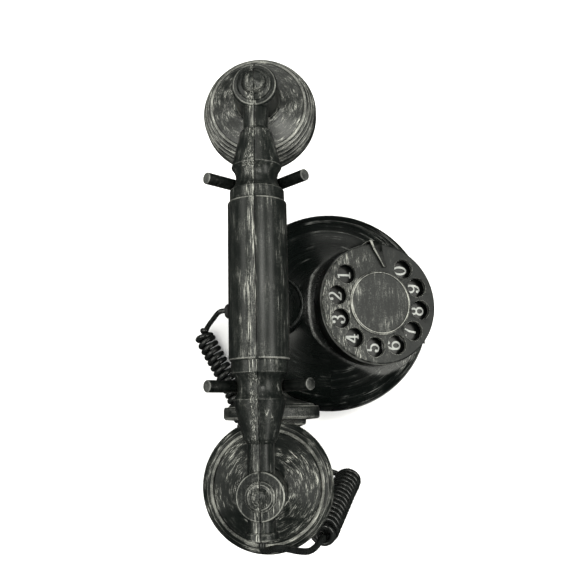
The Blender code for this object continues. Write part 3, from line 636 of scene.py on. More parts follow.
def paint_settings():
    """For each painted look: its slot, ground, tint and silver, the brush's way, how much it covers, how
    much is rubbed off the edges, and the rest of the settings of worn_paint."""
    black = (0.0004, 0.0009, 0.0007)
    green = (0.0017, 0.003, 0.0024)
    slate = (0.002, 0.0028, 0.0024)
    moss = (0.0055, 0.0072, 0.0062)
    silver = (0.46, 0.462, 0.415)
    grey = (0.25, 0.255, 0.235)
    return {
        # Base: its last setting paints the -Y side lighter, a painted light falloff
        "base": ("black", black, green, grey, "round", 0.38, 0.8,
                 dict(gloss=0.27, haze=0.02, fine=0.5, length=12.0, light_falloff=-0.1)),
        "post": ("black", black, green, grey, "round", 0.1, 0.8, dict(gloss=0.27, haze=0.04, fine=0.5)),
        "rod": ("black", black, slate, grey, "round", 0.1, 0.5, dict(gloss=0.3, haze=0.1)),
        "drum": ("black", black, black, grey, "round", 0.0, 0.5, dict(gloss=0.3, haze=0.02)),
        # Handle: seam paints a highlight, extra silver beside its seam
        "handle": ("worn", slate, moss, silver, "z", 0.45, 0.3,
                   dict(gloss=0.32, haze=0.12, fine=0.4, length=10.0, seam=0.13, sheen=0.25)),
        "ear": ("worn", slate, moss, silver, "round", 0.85, 0.35,
                dict(gloss=0.34, haze=0.28, fine=0.4, length=5.0, sheen=0.4)),
        "mouth": ("worn", slate, moss, silver, "round", 0.85, 0.3,
                  dict(gloss=0.3, haze=0.1, fine=0.4, length=5.0, sheen=0.12)),
        "horn": ("worn", slate, moss, silver, "round", 0.3, 0.4, dict(gloss=0.4, haze=0.25, fine=0.5)),
        # Wheel: its last setting paints the +Y side lighter, a painted light falloff
        "wheel": ("gunmetal", slate, moss, silver, "x", 0.4, 1.2,
                  dict(source="bevel", gloss=0.44, fine=0.45, length=4.0, haze=0.16, light_falloff=0.16)),
        "cap": ("gunmetal", slate, moss, silver, "x", 0.6, 1.6,
                dict(gloss=0.44, fine=0.45, length=9.0, haze=0.28, sheen=0.35)),
        "stop": ("worn", black, slate, silver, "x", 0.1, 0.9, dict(gloss=0.3, haze=0.1, sheen=0.12)),
        "digit": ("worn", (0.3, 0.31, 0.29), (0.4, 0.41, 0.39), (0.55, 0.56, 0.53), "x", 0.9, 0.3,
                  dict(haze=0.3)),
    }


# ---- base


def bun_side():
    """The whole side of the base: (radius, height, wear), bottom first, with a crease under the dome."""
    belly = through(BUN_BELLY)
    dome = through(BUN_DOME[:-1])
    crease = [(r, z, 1.0 if abs(r - BUN_DOME[0][0]) < 0.5 else 0.0) for r, z, _ in belly + dome[1:]]
    return crease + [(0, BUN_DOME[-1][1], 0)]


def facet_height(y):
    """The height of the sloping facet under the dial, in millimetres like all of this skin."""
    return DIAL_CENTRE.z / MM + (y - DIAL_FOOT.y) * tan(DIAL_TILT)


def ridge_reach(bun, way, near, far):
    """How far from the dial's foot the facet meets the bun."""
    for _ in range(HALVINGS):
        half = (near + far) / 2
        spot = DIAL_FOOT + way * half
        if facet_height(spot.y) < bun(spot):
            near = half
        else:
            far = half
    return near


def column_reaches(start, ridge, edge, wide):
    """The points of one column, as (distance from the foot, wear): facet, ridge, then bun."""
    reaches = [(start + (ridge - 2.4 * wide - start) * k / 5, 0.0) for k in range(6)]
    reaches += [(ridge + d * wide, wear * (0.3 + 0.35 * wide)) for d, wear in
                ((-1.4, 0.0), (-0.8, 0.55), (-0.35, 1), (0, 1), (0.35, 1), (0.8, 0.55), (1.4, 0.0))]
    outer = ridge + 1.4 * wide
    return reaches + [(outer + (edge - outer) * sin(pi / 2 * k / BUN_STEPS), 0.0)
                      for k in range(1, BUN_STEPS + 1)]


def base_skin():
    """The open skin of the base. Its columns of points run out from the dial's foot, over the sloping
    facet and its ridge, across the bun, and down to the floor."""
    side = bun_side()
    top = [(r, z) for r, z, _ in side if z >= BELLY_HEIGHT]
    crown = ([r for r, _ in top[::-1]], [z for _, z in top[::-1]])

    def bun(spot):
        return float(np.interp(min(spot.length, BUN_RADIUS), *crown))

    def surface(spot):
        low, high = facet_height(spot.y), bun(spot)
        near = max(RIDGE_BLEND - abs(low - high), 0) / RIDGE_BLEND
        return min(low, high) - near * near * RIDGE_BLEND / 4

    lower = [(r / BUN_RADIUS, z) for r, z, _ in side[::-1] if z < BELLY_HEIGHT]
    foot = DIAL_FOOT
    tool = new_tool()
    wears = {}
    rows = []
    for i in range(COLUMNS):
        way = Vector((cos(tau * i / COLUMNS), sin(tau * i / COLUMNS)))
        start = DIAL_HOLE / (way.x ** 2 + (way.y / cos(DIAL_TILT)) ** 2) ** 0.5
        edge = way.dot(-foot) + (way.dot(foot) ** 2 + BUN_RADIUS ** 2 - foot.length_squared) ** 0.5
        ridge = ridge_reach(bun, way, start, edge)
        wide = 1 + max(0.0, 1 - abs(abs(atan2(way.x, way.y)) - RIDGE_CORNER) / RIDGE_CORNER_REACH)
        row = []
        for reach, wear in column_reaches(start, ridge, edge, wide):
            spot = foot + way * reach
            crease = max(0.0, 1 - abs(spot.length - BUN_DOME[0][0]) / 0.7) * 0.7
            row.append(tool.verts.new((spot.x * MM, spot.y * MM, surface(spot) * MM)))
            wears[row[-1]] = max(wear, crease * (reach > ridge + 1.4 * wide))
        rim = foot + way * edge
        row += [tool.verts.new((rim.x * share * MM, rim.y * share * MM, height * MM))
                for share, height in lower]
        rows.append(row)
    for row, following in zip(rows, rows[1:] + rows[:1]):
        for k in range(len(row) - 1):
            tool.faces.new((row[k], row[k + 1], following[k + 1], following[k]))
    mesh = finished(tool, wears)
    mesh.set_sharp_from_angle(angle=radians(60))
    if mesh.polygons[COLUMNS].normal.z < 0:
        mesh.flip_normals()
    return mesh


def add_base(looks):
    shell = solidified(base_skin(), WALL * MM)
    boss = [(0, 29), (20.6, 29), (19.8, 44, 2), (19.2, 50, 1), (19, 57.2, 1), (18.1, 58, 0.5), (17, 58, 0.4),
            (16.2, 56.8, 0.8), (14, 55.9, 0.8), (11, 55.4), (0, 55.4)]
    dish = moved(lathe(boss, FINE), 0, DISH_Y)
    for wear in dish.attributes["wear"].data:
        wear.value *= DISH_WEAR
    shell = combined(shell, "UNION", [dish])
    bore = placed(lathe([(0, 20), (7.2, 20, 0), (7.2, 70, 0), (0, 70)], SMALL), POST_PLACE)
    outlet = placed(lathe([(0, 0), (4.5, 0, 0), (4.5, 25, 0), (0, 25)], SMALL),
                    Matrix.Translation((GROMMET.x, GROMMET.y - 12 * MM, GROMMET.z)) @ ALONG_Y)
    shell = combined(shell, "DIFFERENCE", [bore, outlet])
    add_piece("base_shell", shell, looks["base"], HERE, "base")
    felt = [(0, 0), (48.4, 0, 0.6), (49.1, 1.9, 1.2), (48.8, 3.6, 0.3), (0, 3.6)]
    add_piece("felt_pad", felt_with_wells(felt), looks["felt"], HERE, "base")
    grommet = [(2.3, -5.6), (4.1, -5.6), (4.1, 1.9), (4.9, 2.1, 0.4), (4.9, 3, 0.6), (3.8, 4.2, 0.6),
               (3.2, 4.6), (2.3, 4.5)]
    place = Matrix.Translation(GROMMET) @ ALONG_Y
    add_piece("cord_grommet", lathe(grommet, SMALL), looks["rubber"], place, "base")


def felt_with_wells(outline):
    """The pad, open over the four screws of the base plate."""
    wells = []
    for number in range(1, 5):
        spot = middle(f"base_screw_{number}")
        well = lathe([(0, -1), (4.2, -1, 0), (4.2, 5, 0), (0, 5)], SMALL)
        wells.append(placed(well, Matrix.Translation((spot.x, spot.y, 0))))
    return combined(lathe(outline, FINE), "DIFFERENCE", wells)


def add_post(looks):
    outline = [(6.5, 40), (6.5, 56.2), (10.6, 56.2, 0.6), (10.4, 57.4, 0.5), (9.1, 58.2, 0.8),
               (8.3, 60.6, 1.5), (7.6, 66, 3), (7.4, 76.8, 0.6), (8.5, 77.9, 0.6), (9, 79.1, 0.5),
               (9, 80.9, 0.5), (8.5, 82.1, 0.6), (7.4, 83.2, 0.6), (7.4, 96.9), (7, 98, 0.5), (5.4, 98),
               (5.4, 40)]
    add_piece("cradle_post", lathe(outline, MEDIUM), looks["post"], POST_PLACE, "base")
    bush = [(3.3, 94), (5.1, 94), (5.1, 98.3), (6.8, 98.3, 0.3), (6.8, 99.6, 0.4), (3.3, 99.8)]
    add_piece("post_bush", lathe(bush, SMALL), looks["brass"], POST_PLACE, "base")


# ---- dial


def add_dial_body(looks):
    housing = [(38.6, 0.3, 0), (38.6, 11.3, 0.3), (38, 12, 0.5), (36.3, 12, 0.2), (36.3, 3, 0), (6, 3, 0),
               (6, 0, 0), (26, 0, 0), (26, -6, 0), (29.4, -6, 0), (29.4, 0.3, 0)]
    add_piece("dial_housing", lathe(housing, FINE), looks["drum"], DIAL_PLACE, "base")
    ring = [(36, 3.3, 0), (36, 8.7, 0.2), (14, 8.7, 0.2), (14, 7.5, 0), (34.8, 7.5, 0), (34.8, 3.3, 0)]
    add_piece("number_ring", lathe(ring, FINE), looks["drum"], DIAL_PLACE, "base")
    add_numbers(looks)
    add_finger_stop(looks)


def bow(centre, size, start, end):
    """Points on an ellipse, from one angle to the other, in degrees."""
    count = max(4, ceil(abs(end - start) / 12))
    turns = [radians(start + (end - start) * k / count) for k in range(count + 1)]
    return [(centre[0] + size[0] * cos(a), centre[1] + size[1] * sin(a)) for a in turns]


def half_turned(strokes, dots):
    """The same figure upside down."""
    return ([[(0.62 - x, 1 - y) for x, y in line] for line in strokes], [(0.62 - x, 1 - y) for x, y in dots])


def figures():
    """Each digit as strokes and round ends, on a field one high and 0.62 wide."""
    six = ([bow((0.37, 0.46), (0.31, 0.52), 75, 185), bow((0.31, 0.29), (0.25, 0.29), 0, 360)], [(0.5, 0.86)])
    return {"1": ([[(0.33, 0.03), (0.33, 0.98)], [(0.14, 0.82), (0.33, 0.97)],
                   [(0.12, 0.02), (0.55, 0.02)]], []),
            "2": ([bow((0.31, 0.72), (0.23, 0.26), 165, -35) + [(0.06, 0.05)],
                   [(0.05, 0.05), (0.5, 0.05), (0.6, 0.22)]], [(0.12, 0.74)]),
            "3": ([bow((0.3, 0.75), (0.2, 0.23), 160, -85), bow((0.29, 0.27), (0.25, 0.27), 88, -155)],
                  [(0.13, 0.8), (0.1, 0.2)]),
            "4": ([[(0.42, 0.97), (0.03, 0.28)], [(0.03, 0.28), (0.62, 0.28)], [(0.42, 0.97), (0.42, 0.03)],
                   [(0.27, 0.02), (0.58, 0.02)]], []),
            "5": ([[(0.15, 0.95), (0.15, 0.54)], [(0.15, 0.94), (0.54, 0.94)],
                   bow((0.29, 0.3), (0.26, 0.3), 122, -155)], [(0.1, 0.2)]), "6": six,
            "7": ([[(0.06, 0.76), (0.07, 0.94), (0.58, 0.94), (0.36, 0.5), (0.27, 0.02)]], []),
            "8": ([bow((0.31, 0.74), (0.2, 0.24), 0, 360), bow((0.31, 0.27), (0.25, 0.27), 0, 360)], []),
            "9": half_turned(*six), "0": ([bow((0.31, 0.5), (0.26, 0.49), 0, 360)], []),}


def ribbon(line, height):
    """A flat stroke of a broad pen: thick where it runs up or down, thin where it runs across."""
    points = [Vector(p) * DIGIT_HEIGHT for p in line]
    ring = (points[0] - points[-1]).length < 1e-6
    sections = []
    for i, point in enumerate(points):
        before = points[i - 1] if i else (points[-2] if ring else point)
        after = points[(i + 1) % len(points)] if i < len(points) - 1 else (points[1] if ring else point)
        run = (after - before).normalized()
        half = 0.32 + 0.3 * abs(run.y)
        side = Vector((-run.y, run.x)) * half
        left, right = point + side, point - side
        sections.append([Vector((p.x, p.y, z)) * MM for p, z in
                         ((left, 0), (right, 0), (right, height), (left, height))])
    return loft(sections[:-1], closed=True) if ring else loft(sections)


def add_numbers(looks):
    """Raised figures on the number ring, one under each hole, all upright for the user."""
    digits = []
    for number, (strokes, dots) in enumerate(figures()[d] for d in "1234567890"):
        angle = FIRST_HOLE + number * HOLE_STEP
        parts = [ribbon(line, DIGIT_RAISE + 0.02 * k) for k, line in enumerate(strokes)]
        for x, y in dots:
            dot = lathe([(0, 0), (0.95, 0, 0), (0.95, DIGIT_RAISE + 0.05, 0.2), (0, DIGIT_RAISE + 0.05)], 20)
            parts.append(moved(dot, x * DIGIT_HEIGHT, y * DIGIT_HEIGHT))
        digit = combined(parts[0], "UNION", parts[1:]) if parts[1:] else parts[0]
        centre = Vector((HOLE_CIRCLE * cos(angle), HOLE_CIRCLE * sin(angle), RING_TOP)) * MM
        centre -= Vector((0.31, 0.5, 0)) * DIGIT_HEIGHT * MM
        digits.append(placed(digit, Matrix.Translation(centre)))
    tool = new_tool()
    for digit in digits:
        tool.from_mesh(digit)
    add_piece("number_ring", finished(tool), looks["digit"], DIAL_PLACE, "base", "dial_numbers", False)


def add_finger_stop(looks):
    """A blade that rises on the side of the drum, bends over the wheel and tapers to a round tip."""
    knots = [(39.6, 2, 2.8, 4.2), (39.6, 2, 13.4, 4.2), (39.2, 2, 15.4, 4.1), (37.6, 1.8, 16.1, 3.9),
             (34.6, 0.9, 16.2, 3.1), (31, -1.3, 16.2, 2.2), (28, -4, 16.2, 1.75), (25.4, -7, 16.2, 1.5),
             (23.9, -9, 16.2, 1.35)]
    centres = []
    for radius, degrees, height, _ in knots:
        angle = radians(degrees)
        centres.append(Vector((radius * cos(angle), radius * sin(angle), height)))
    path = smooth_path(centres, 6)
    widths = np.interp(np.linspace(0, len(knots) - 1, len(path)), range(len(knots)), [k[3] for k in knots])
    tip = path[-1]
    ahead = (path[-1] - path[-2]).normalized()
    for k in range(1, 6):
        path.append(tip + ahead * widths[-1] * sin(pi / 2 * k / 5) * 0.98)
        widths = np.append(widths, widths[len(centres) * 6 - 6] * max(cos(pi / 2 * k / 5), 0.12))
    sections = []
    for i, point in enumerate(path):
        run = (path[min(i + 1, len(path) - 1)] - path[max(i - 1, 0)]).normalized()
        out = Vector((point.x, point.y, 0)).normalized()
        side = Vector((-out.y, out.x, 0))
        side = (side - run * side.dot(run)).normalized()
        up = side.cross(run)
        up = -up if up.dot(Vector((0, 0, 1)) + out) < 0 else up
        half = widths[i]
        shape = [(1, -0.4), (1, 0.5), (0.86, 0.8), (0.66, 0.7), (0.5, 0.3), (-0.94, 0.3), (-1, 0.2),
                 (-1, -0.4)]
        sections.append([(point + side * half * a + up * b) * MM for a, b in shape])
    blade = loft(sections)
    for index, spot in enumerate(blade.attributes["wear"].data):
        spot.value = 1.0 if index % len(shape) in (1, 2, 3) else 0.0
    add_piece("finger_stop", blade, looks["stop"], DIAL_PLACE, "base")


def add_wheel(looks):
    disc = [(6.3, WHEEL_LOW, 0), (37.3, WHEEL_LOW, 0.3), (38, 13.1, 0.3), (38, 14, 0.5),
            (37.4, WHEEL_TOP, 0.5), (6.3, WHEEL_TOP, 0)]
    holes = []
    lip = HOLE_RADIUS + HOLE_LIP
    for number in range(10):
        angle = FIRST_HOLE + number * HOLE_STEP
        cutter = [(0, WHEEL_LOW - 2), (HOLE_RADIUS, WHEEL_LOW - 2, 0), (HOLE_RADIUS, WHEEL_TOP - HOLE_LIP, 0),
                  (lip, WHEEL_TOP, 0), (HOLE_RADIUS + 3, WHEEL_TOP + 2.65, 0), (0, WHEEL_TOP + 2.65)]
        holes.append(moved(lathe(cutter, 72), HOLE_CIRCLE * cos(angle), HOLE_CIRCLE * sin(angle)))
    wheel = combined(lathe(disc, FINE), "DIFFERENCE", holes)
    add_piece("finger_wheel", wheel, looks["wheel"], DIAL_PLACE, "dial")
    cap = [(0, 15.1), (19.6, 15.1, 0.2), (20.2, 15.5, 0.2), (20, 16.1, 0.4), (19.5, 16.4, 0.3),
           (19, 16.4, 0.3), (18.6, 15.95, 0.25), (18.1, 15.9, 0.2), (0, 15.9)]
    add_piece("dial_cap", lathe(cap, FINE), looks["cap"], DIAL_PLACE, "dial")


# ---- cradle


def add_cradle(looks):
    hub = [(0, 112), (3.4, 112, 0), (3.4, 101), (8.2, 101, 0.3), (9, 101.8, 0.4), (8.4, 103.6, 1),
           (7.4, 107.6, 2), (7.4, 115, 0.8), (6.4, 116.6, 1.2), (4, 117, 0.8), (0, 117)]
    arms = []
    reach = FORK_X - 3.4 * MM
    for side in (-1, 1):
        ends = [Vector((side * x, POST.y, z * MM)) for x, z in
                ((5 * MM, 112.5), (24 * MM, 112.5), (40 * MM, 112.5), (reach, 113.4))]
        arms.append(loft(tube(ends, [3.2 * MM] * 4, 40)))
    bar = combined(placed(lathe(hub), POST_PLACE), "UNION", arms)
    add_piece("cradle_bar", bar, looks["post"], HERE, "cradle")
    for side, sign in (("right", 1), ("left", -1)):
        fork = rounded_rod(fork_path(sign * FORK_X), 3.1 * MM)
        add_piece(f"fork_{side}", fork, looks["rod"], HERE, "cradle")


def fork_path(x):
    """From one tip down to a rounded vertex and up to the other tip."""
    spread = (FORK_HIGH.y - FORK_LOW.y) / 2 - 2.4 * MM
    tip = FORK_HIGH.z - 2.1 * MM
    vertex = FORK_LOW.z + 3.1 * MM
    slope = atan2(spread, tip - vertex)
    bend = 6 * MM
    half = pi / 2 - slope
    centre = vertex + bend / sin(slope)
    turns = [-pi / 2 - half + 2 * half * k / 14 for k in range(15)]
    curve = [Vector((x, POST.y + bend * cos(a), centre + bend * sin(a))) for a in turns]
    return [Vector((x, POST.y - spread, tip))] + curve + [Vector((x, POST.y + spread, tip))]


# ---- handset


def handle_side():
    """Half the length of the handle from the middle outwards: grip, collar, waist, cone and tube."""
    waist = through([(13.6, 47.4), (12, 49.4), (11, 52.2), (10.9, 54.4), (11.5, 57.2), (12.8, 59.2)], 4)
    return ([(15.3, 0), (15.3, 40.2, 0.6), (14.2, 41.1, 0.2), (14.1, 46.8, 0.5)] + waist
            + [(13.15, 59.9, 0.3), (12.7, 61.6, 0.6), (8.4, 79.2, 0.6), (7.2, 80.6, 0.5), (6.7, 81.2, 0.4)])


def handle_outline():
    half = handle_side()
    mirrored = [(r, -z, *rest) for r, z, *rest in half[:0:-1]]
    outlet = [(0, -126), (7.4, -126, 0.3), (8, -125.4, 0.4), (8, -123, 0.4), (7.4, -122.2, 0.3),
              (6.8, -122, 0.2)]
    return outlet + mirrored + half[1:] + [(6.7, EAR.x / MM, 0), (0, EAR.x / MM)]


def handle_solid():
    """The handle with its two hubs, hollow, before it is split."""
    ear_hub = [(0, -12), (11.4, -12, 0.4), (12.1, -10.6, 0.5), (12.1, 5.6, 0.5), (11.2, 7.3, 0.6),
               (9.2, 7.5, 0.3), (8.6, 8.6, 0.5), (7.4, 9.2, 0.4), (6.6, 9.3, 0.2), (6.3, 10.4, 0.8),
               (5.2, 12, 1.5), (2.6, 13, 0.8), (1, 13.3, 0.4), (0, 14.2)]
    mouth_hub = [(0, -12), (10.8, -12, 0.4), (12.1, -10.6, 0.5), (12.1, 6, 0.5), (11.4, 7.4, 0.5),
                 (7.5, 7.2, 0.2), (7.1, 8.6, 0.3), (6.2, 9.1, 0.3), (5.8, 9.9, 0.4), (4.4, 10.3, 0.3),
                 (4, 11.6, 0.6), (2.6, 12.8, 0.8), (0, 13.6)]
    hubs = [placed(lathe(hub, MEDIUM), Matrix.Translation((x, POST.y, AXIS_Z)))
            for hub, x in ((ear_hub, EAR.x), (mouth_hub, MOUTH.x))]
    solid = combined(placed(lathe(handle_outline(), MEDIUM + 4), HANDLE_PLACE), "UNION", hubs)
    wide = [(4.5, 78, 0), (9, 62, 0), (8.8, 54, 0), (11.6, 46, 0), (13.2, 39, 0)]
    bore = [(0, -128), (4.5, -128, 0)] + [(r, -z, 0) for r, z, _ in wide] + wide[::-1] + [(4.5, 103, 0),
                                                                                          (0, 103)]
    wells = [placed(lathe([(0, -40), (6, -40, 0), (6, 2, 0), (0, 2)], 32),
                    Matrix.Translation((x, POST.y, AXIS_Z))) for x in (EAR.x, MOUTH.x)]
    return combined(solid, "DIFFERENCE", [placed(lathe(bore, 36), HANDLE_PLACE)] + wells)


def add_handle(looks):
    solid = handle_solid()
    reach = 0.2
    seam = 0.15 * MM
    for side, sign in (("front", -1), ("rear", 1)):
        near, far = sorted((POST.y - sign * reach, POST.y + sign * seam))
        cutter = box_mesh((-reach, near, 0), (reach, far, reach * 2))
        half = combined(solid.copy(), "DIFFERENCE", [cutter])
        half.transform(HANDLE_PLACE.inverted())
        add_piece(f"handset_{side}_half", half, looks["handle"], HANDLE_PLACE, "handset")


def add_sound_holes(mesh, rows, low, high, radius=0.9):
    """Small round holes: one in the middle, and rings of them at equal steps."""
    spots = [(0, 0)]
    for distance, count in rows:
        spots += [(distance * cos(tau * i / count), distance * sin(tau * i / count)) for i in range(count)]
    cutters = []
    for x, y in spots:
        pin = lathe([(0, low), (radius, low, 0), (radius, high, 0), (0, high)], 16)
        cutters.append(moved(pin, x, y))
    return combined(mesh, "DIFFERENCE", cutters)


def add_ear_end(looks):
    top = AXIS_Z / MM - 12.3
    shell = [(12.1, top, 0), (12.5, top - 1.8, 0.8), (14.6, top - 3.2, 1.5), (25.4, 117.2, 0.5),
             (25.8, 117.8, 0.3), (27, 117.4, 0.3), (27.3, 115.8, 0.2), (28.6, 115.5, 0.3), (28.8, 113.5, 0.2),
             (30, 113.1, 0.3), (30.2, 110.9, 0.2), (31.3, 110.4, 0.3), (31.5, 108.4, 0.2), (32.1, 108, 0.3),
             (32.4, 107, 0.3), (32.4, 99.6, 0.5), (31.8, 98.7, 0.2), (29.8, 98.7, 0), (29.8, 106, 0),
             (26, 111.4, 0), (13, 116.6, 0), (6, 118, 0), (6, top, 0)]
    add_piece("ear_shell", lathe(shell, FINE), looks["ear"], EAR_PLACE, "handset")
    cap = [(0, 99.6), (6, 99.4, 1), (20, 96.4, 2), (27, 95.2, 1.5), (31.2, 95.8, 1), (31.9, 97.8, 0.3),
           (29.4, 98.3, 0), (29.4, 102, 0), (27.4, 102, 0), (27.4, 99, 0), (20, 99.6, 0), (6, 101.8, 0),
           (0, 102)]
    cap = add_sound_holes(lathe(cap, FINE), ((5, 6), (9.5, 12)), 94, 104)
    add_piece("ear_cap", cap, looks["post"], EAR_PLACE, "handset")


def add_mouth_end(looks):
    top = AXIS_Z / MM - 12.3
    shell = [(11.3, top, 0), (10.9, 112, 0), (10.8, 104.4, 0), (11.6, 102.6, 0.8), (29, 94.6, 0.5),
             (29.6, 95.5, 0.3), (31, 95.4, 0.3), (31.3, 94.3, 0.2), (33, 93.6, 0.3), (33.3, 92.5, 0.2),
             (34.8, 91.7, 0.6), (36, 89.8, 0.8), (36, 82, 0.6), (35.2, 80.8, 0.3), (33.4, 80.8, 0),
             (33.4, 88, 0), (30, 91, 0), (15, 97, 0), (8, 100, 0), (6, 104, 0), (6, top, 0)]
    add_piece("mouth_shell", lathe(shell, FINE), looks["mouth"], MOUTH_PLACE, "handset")
    plate = [(9.6, 79.2, 0), (31, 79.2, 0.8), (32.4, 80.4, 0.3), (32.4, 83, 0), (9.6, 83, 0)]
    add_piece("mouth_plate", lathe(plate, FINE), looks["mouth"], MOUTH_PLACE, "handset")
    add_horn(looks)


def add_horn(looks):
    """The pipe that leaves the mouth cup downwards and turns to its wide mouthpiece, facing +X."""
    bend = 20 * MM
    turns = [pi + pi / 2 * k / 16 for k in range(17)]
    path = [Vector((MOUTH.x, POST.y, 82.6 * MM))]
    path += [Vector((MOUTH.x + bend + bend * cos(a), POST.y, HORN_Z + bend + bend * sin(a))) for a in turns]
    path.append(Vector((-82.3 * MM, POST.y, HORN_Z)))
    outer = loft(tube(path, [9 * MM] * len(path), SMALL))
    longer = [path[0] + Vector((0, 0, 6 * MM))] + path[1:-1] + [path[-1] + Vector((6 * MM, 0, 0))]
    elbow = combined(outer, "DIFFERENCE", [loft(tube(longer, [6.6 * MM] * len(longer), 24))])
    elbow.transform(HORN_PLACE.inverted())
    add_piece("horn_elbow", elbow, looks["horn"], HORN_PLACE, "handset")
    bell = [(6.6, -82, 0), (9.4, -82, 0.3), (10.4, -80.4, 1), (12.6, -78.2, 1.5), (17.4, -74.6, 1.5),
            (20.6, -73.4, 0.8), (20.9, -72, 0.5), (20.9, -70.6, 0.2), (28.2, -70, 0.6), (29.3, -68.8, 0.8),
            (29.3, -63.8, 0.6), (28.6, -62.4, 0.4), (27.4, -62.4, 0), (27.4, -68, 0), (19, -69, 0),
            (14, -73, 0)]
    add_piece("mouthpiece_bell", lathe(bell, FINE), looks["horn"], HORN_PLACE, "handset")
    dome = [(0, -55), (8, -57.4, 0), (14, -60.4, 0), (20, -62.4, 0), (25.4, -65, 0), (27, -65, 0),
            (27, -62.8, 0.6), (25.6, -61, 0.8), (21, -59.8, 1), (15, -58, 2), (10.8, -55.7, 1),
            (8.8, -53.4, 0.8), (7.6, -52.7, 0.6), (0, -52.4)]
    grille = add_sound_holes(lathe(dome, FINE), ((3, 6), (5.8, 10)), -60, -50, 0.7)
    add_piece("mouthpiece_grille", grille, looks["horn"], HORN_PLACE, "handset")


# ---- cord


def cord_knots():
    """The middle line of the cord, in millimetres, as (x, y, z, how far the wire stands off it, its pitch,
    its radius): a coil over the table, a bare wire under the mouth cup, and a wider coil beside it."""
    level = AXIS_Z / MM
    loose, tight, bare = (5.15, 4.3, 1.75), (7.1, 4.8, 1.5), (0, 5, 1.75)
    start = [(2, 58, 20), (2, 64, 20), (2, 72.4, 20), (-2.4, 78.2, 14.6), (-8, 83.5, 9)]
    table = [(-13, 85, 7.8), (-20, 82, 7.8), (-31, 76, 7.8), (-43, 69.5, 7.8), (-54, 64, 7.8),
             (-67, 59.5, 7.8), (-80, 52, 7.8), (-90.5, 40, 7.8), (-97.5, 27, 7.8), (-101.5, 15, 7.8)]
    under = [(-103.5, 7, 8.2), (-105.5, 0, 8.4), (-107.8, -6, 9.8)]
    rise = [(-109.6, -9.4, 14), (-115.4, -5.1, 29), (-121.3, -0.8, 44.3), (-127.1, 3.5, 59.6),
            (-132.6, 7.5, 74)]
    wire_up = [(-134.8, 8.8, 81), (-137.3, 11.5, 90), (-138.4, 15.5, 98), (-136.6, 21, 107),
               (-133.8, 26.5, 116), (-132, 31.5, 125), (-131.8, 35.6, 132), (-130, 37, level - 0.4),
               (-127, 37, level), (-119, 37, level)]
    runs = ((start, bare), (table, loose), (under, bare), (rise, tight), (wire_up, bare))
    return [(*spot, *coil) for spots, coil in runs for spot in spots]


def even_steps(points, values, step):
    """The path again with equal steps along its length, and its rows of values to match."""
    lengths = [0.0]
    for a, b in zip(points, points[1:]):
        lengths.append(lengths[-1] + (b - a).length)
    spots = np.arange(0, lengths[-1], step)
    columns = [np.interp(spots, lengths, [p[axis] for p in points]) for axis in range(3)]
    return [Vector(p) for p in zip(*columns)], [np.interp(spots, lengths, row) for row in values]


def add_cord(looks):
    """One jacketed wire: straight at both ends and wound in a helix round the path between them."""
    knots = cord_knots()
    path = smooth_path([Vector(k[:3]) for k in knots], 16)
    places = np.linspace(0, len(knots) - 1, len(path))
    values = [np.interp(places, range(len(knots)), [k[column] for k in knots]) for column in (3, 4, 5)]
    step = CORD_PITCH / STEPS_PER_TURN
    path, (reach, pitch, thickness) = even_steps(path, values, step)
    normal = Vector((0, 0, 1))
    turn = 0.0
    wire = []
    radii = []
    for i, point in enumerate(path):
        ahead = (path[min(i + 1, len(path) - 1)] - path[max(i - 1, 0)]).normalized()
        normal = (normal - ahead * normal.dot(ahead)).normalized()
        side = ahead.cross(normal)
        turn += tau * step / pitch[i]
        if reach[i] > 0.01 or i % 6 == 0:
            wire.append((point + (normal * cos(turn) + side * sin(turn)) * reach[i]) * MM)
            radii.append(float(thickness[i]) * MM)
    wire.append(path[-1] * MM)
    mesh = loft(tube(wire, radii + radii[-1:], WIRE_SIDES))
    cord = add_piece("handset_cord", mesh, looks["cord"], HERE, None)
    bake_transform(cord, "base", "handset", start=(0, 0, 0.024), end=(0, 0, 0.128))
    bush = [(2.4, -127.4), (3.2, -127.4, 0.4), (4.1, -125.8, 0.3), (4.1, -117, 0), (2.4, -117, 0)]
    add_piece("cord_bush", lathe(bush, SMALL), looks["rubber"], HANDLE_PLACE, "handset")


# ---- inner parts, stage and camera


def paint_inner_parts(looks):
    """The frame's own parts that stay in sight when the phone is taken apart."""
    finishes = {
        "dark_metal": ["base_plate"],
        "steel": ["base_screw_1", "base_screw_2", "base_screw_3", "base_screw_4", "cradle_spring",
                  "ringer_bracket", "return_spring_drum", "dial_shaft", "plunger", "clapper",
                  "receiver_capsule", "transmitter_capsule"],
        "brass": ["hook_contact", "gong_left", "gong_right", "dial_mechanism_frame", "main_gear", "governor"],
        "copper": ["ringer_coil_left", "ringer_coil_right"],
        "bakelite": ["hook_switch", "terminal_block"],
    }
    for look, nodes in finishes.items():
        finish, slot = looks[look]
        for node in nodes:
            obj = frame["nodes"][node]
            obj.data.materials.clear()
            obj.data.materials.append(finish)


def add_floor():
    mesh = bpy.data.meshes.new("floor")
    half = 4.0
    mesh.from_pydata([(-half, -half, 0), (half, -half, 0), (half, half, 0), (-half, half, 0)], [],
                     [(0, 1, 2, 3)])
    floor = linked("floor", mesh)
    floor.location.z = -0.2 * MM
    paper, tree = new_material("paper")
    surface = tree.nodes["Principled BSDF"]
    surface.inputs["Base Color"].default_value = (0.93, 0.93, 0.925, 1)
    surface.inputs["Roughness"].default_value = 0.9
    surface.inputs["Specular IOR Level"].default_value = 0.1
    floor.visible_glossy = False
    mesh.materials.append(paper)


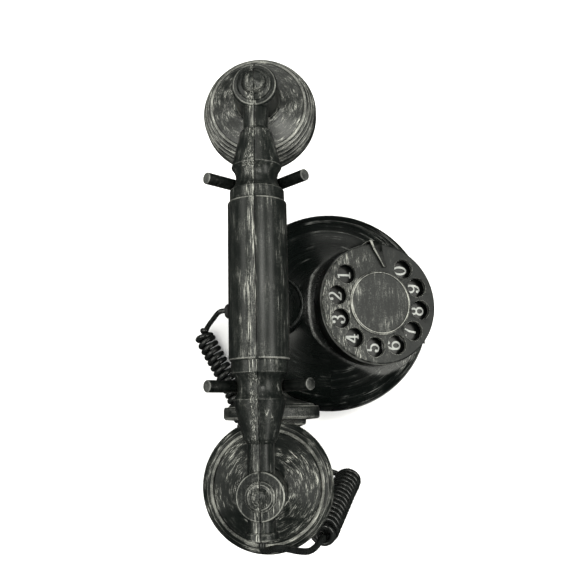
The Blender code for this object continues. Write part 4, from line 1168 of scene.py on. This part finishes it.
def add_light(name, spot, size, power):
    lamp = bpy.data.lights.new(name, "AREA")
    lamp.shape = "RECTANGLE"
    lamp.size, lamp.size_y = size
    lamp.energy = power
    lamp.color = (1.0, 1.0, 0.93)
    obj = linked(name, lamp)
    obj.location = spot
    aim = Vector((0, 0, 0.08)) - Vector(spot)
    obj.rotation_mode = "QUATERNION"
    obj.rotation_quaternion = aim.to_track_quat("-Z", "Y")


def add_light_room():
    """An even white room, which shiny surfaces see dimmer, and two long soft boxes."""
    world = bpy.data.worlds.new("room")
    bpy.context.scene.world = world
    world.use_nodes = True
    tree = world.node_tree
    back = tree.nodes["Background"]
    glossy = add_node(tree, "LightPath").outputs["Is Glossy Ray"]
    strength = maths(tree, "SUBTRACT", ROOM_STRENGTH, times(tree, glossy, ROOM_STRENGTH - ROOM_IN_GLOSS))
    back.inputs["Color"].default_value = (1.0, 1.0, 1.0, 1)
    tree.links.new(strength, back.inputs["Strength"])
    add_light("box_left", (0.0, 0.62, 0.62), (0.9, 0.2), 2.8)
    add_light("box_right", (-0.1, -0.62, 0.66), (0.8, 0.2), 4.2)
    add_light("box_top", (0.0, 0.24, 0.75), (0.9, 0.08), 2.6)
    add_light("box_wedge", (0.11, -0.17, 0.72), (0.12, 0.12), 1.3)
    add_light("box_front", (0.75, -0.1, 0.7), (0.5, 0.5), 1.5)


def add_camera():
    """Nearly overhead, with the handset upright in the picture."""
    camera = linked("camera", bpy.data.cameras.new("camera"))
    camera.data.sensor_width = 36
    camera.data.lens = 43.51
    camera.data.clip_start = 0.02
    camera.location = (-0.06762, 0.00804, 0.48516)
    forward = Vector((0.17535, 0.03628, -0.98384)).normalized()
    right = Vector((-0.02269, -0.99891, -0.04088))
    right = (right - forward * right.dot(forward)).normalized()
    up = right.cross(forward)
    camera.rotation_mode = "QUATERNION"
    camera.rotation_quaternion = Matrix((right, up, -forward)).transposed().to_quaternion()
    bpy.context.scene.camera = camera
    bpy.context.scene.view_settings.view_transform = "Standard"


def main():
    looks = make_looks()
    add_base(looks)
    add_post(looks)
    add_dial_body(looks)
    add_wheel(looks)
    add_cradle(looks)
    add_handle(looks)
    add_ear_end(looks)
    add_mouth_end(looks)
    add_cord(looks)
    paint_inner_parts(looks)
    add_floor()
    add_light_room()
    add_camera()


main()
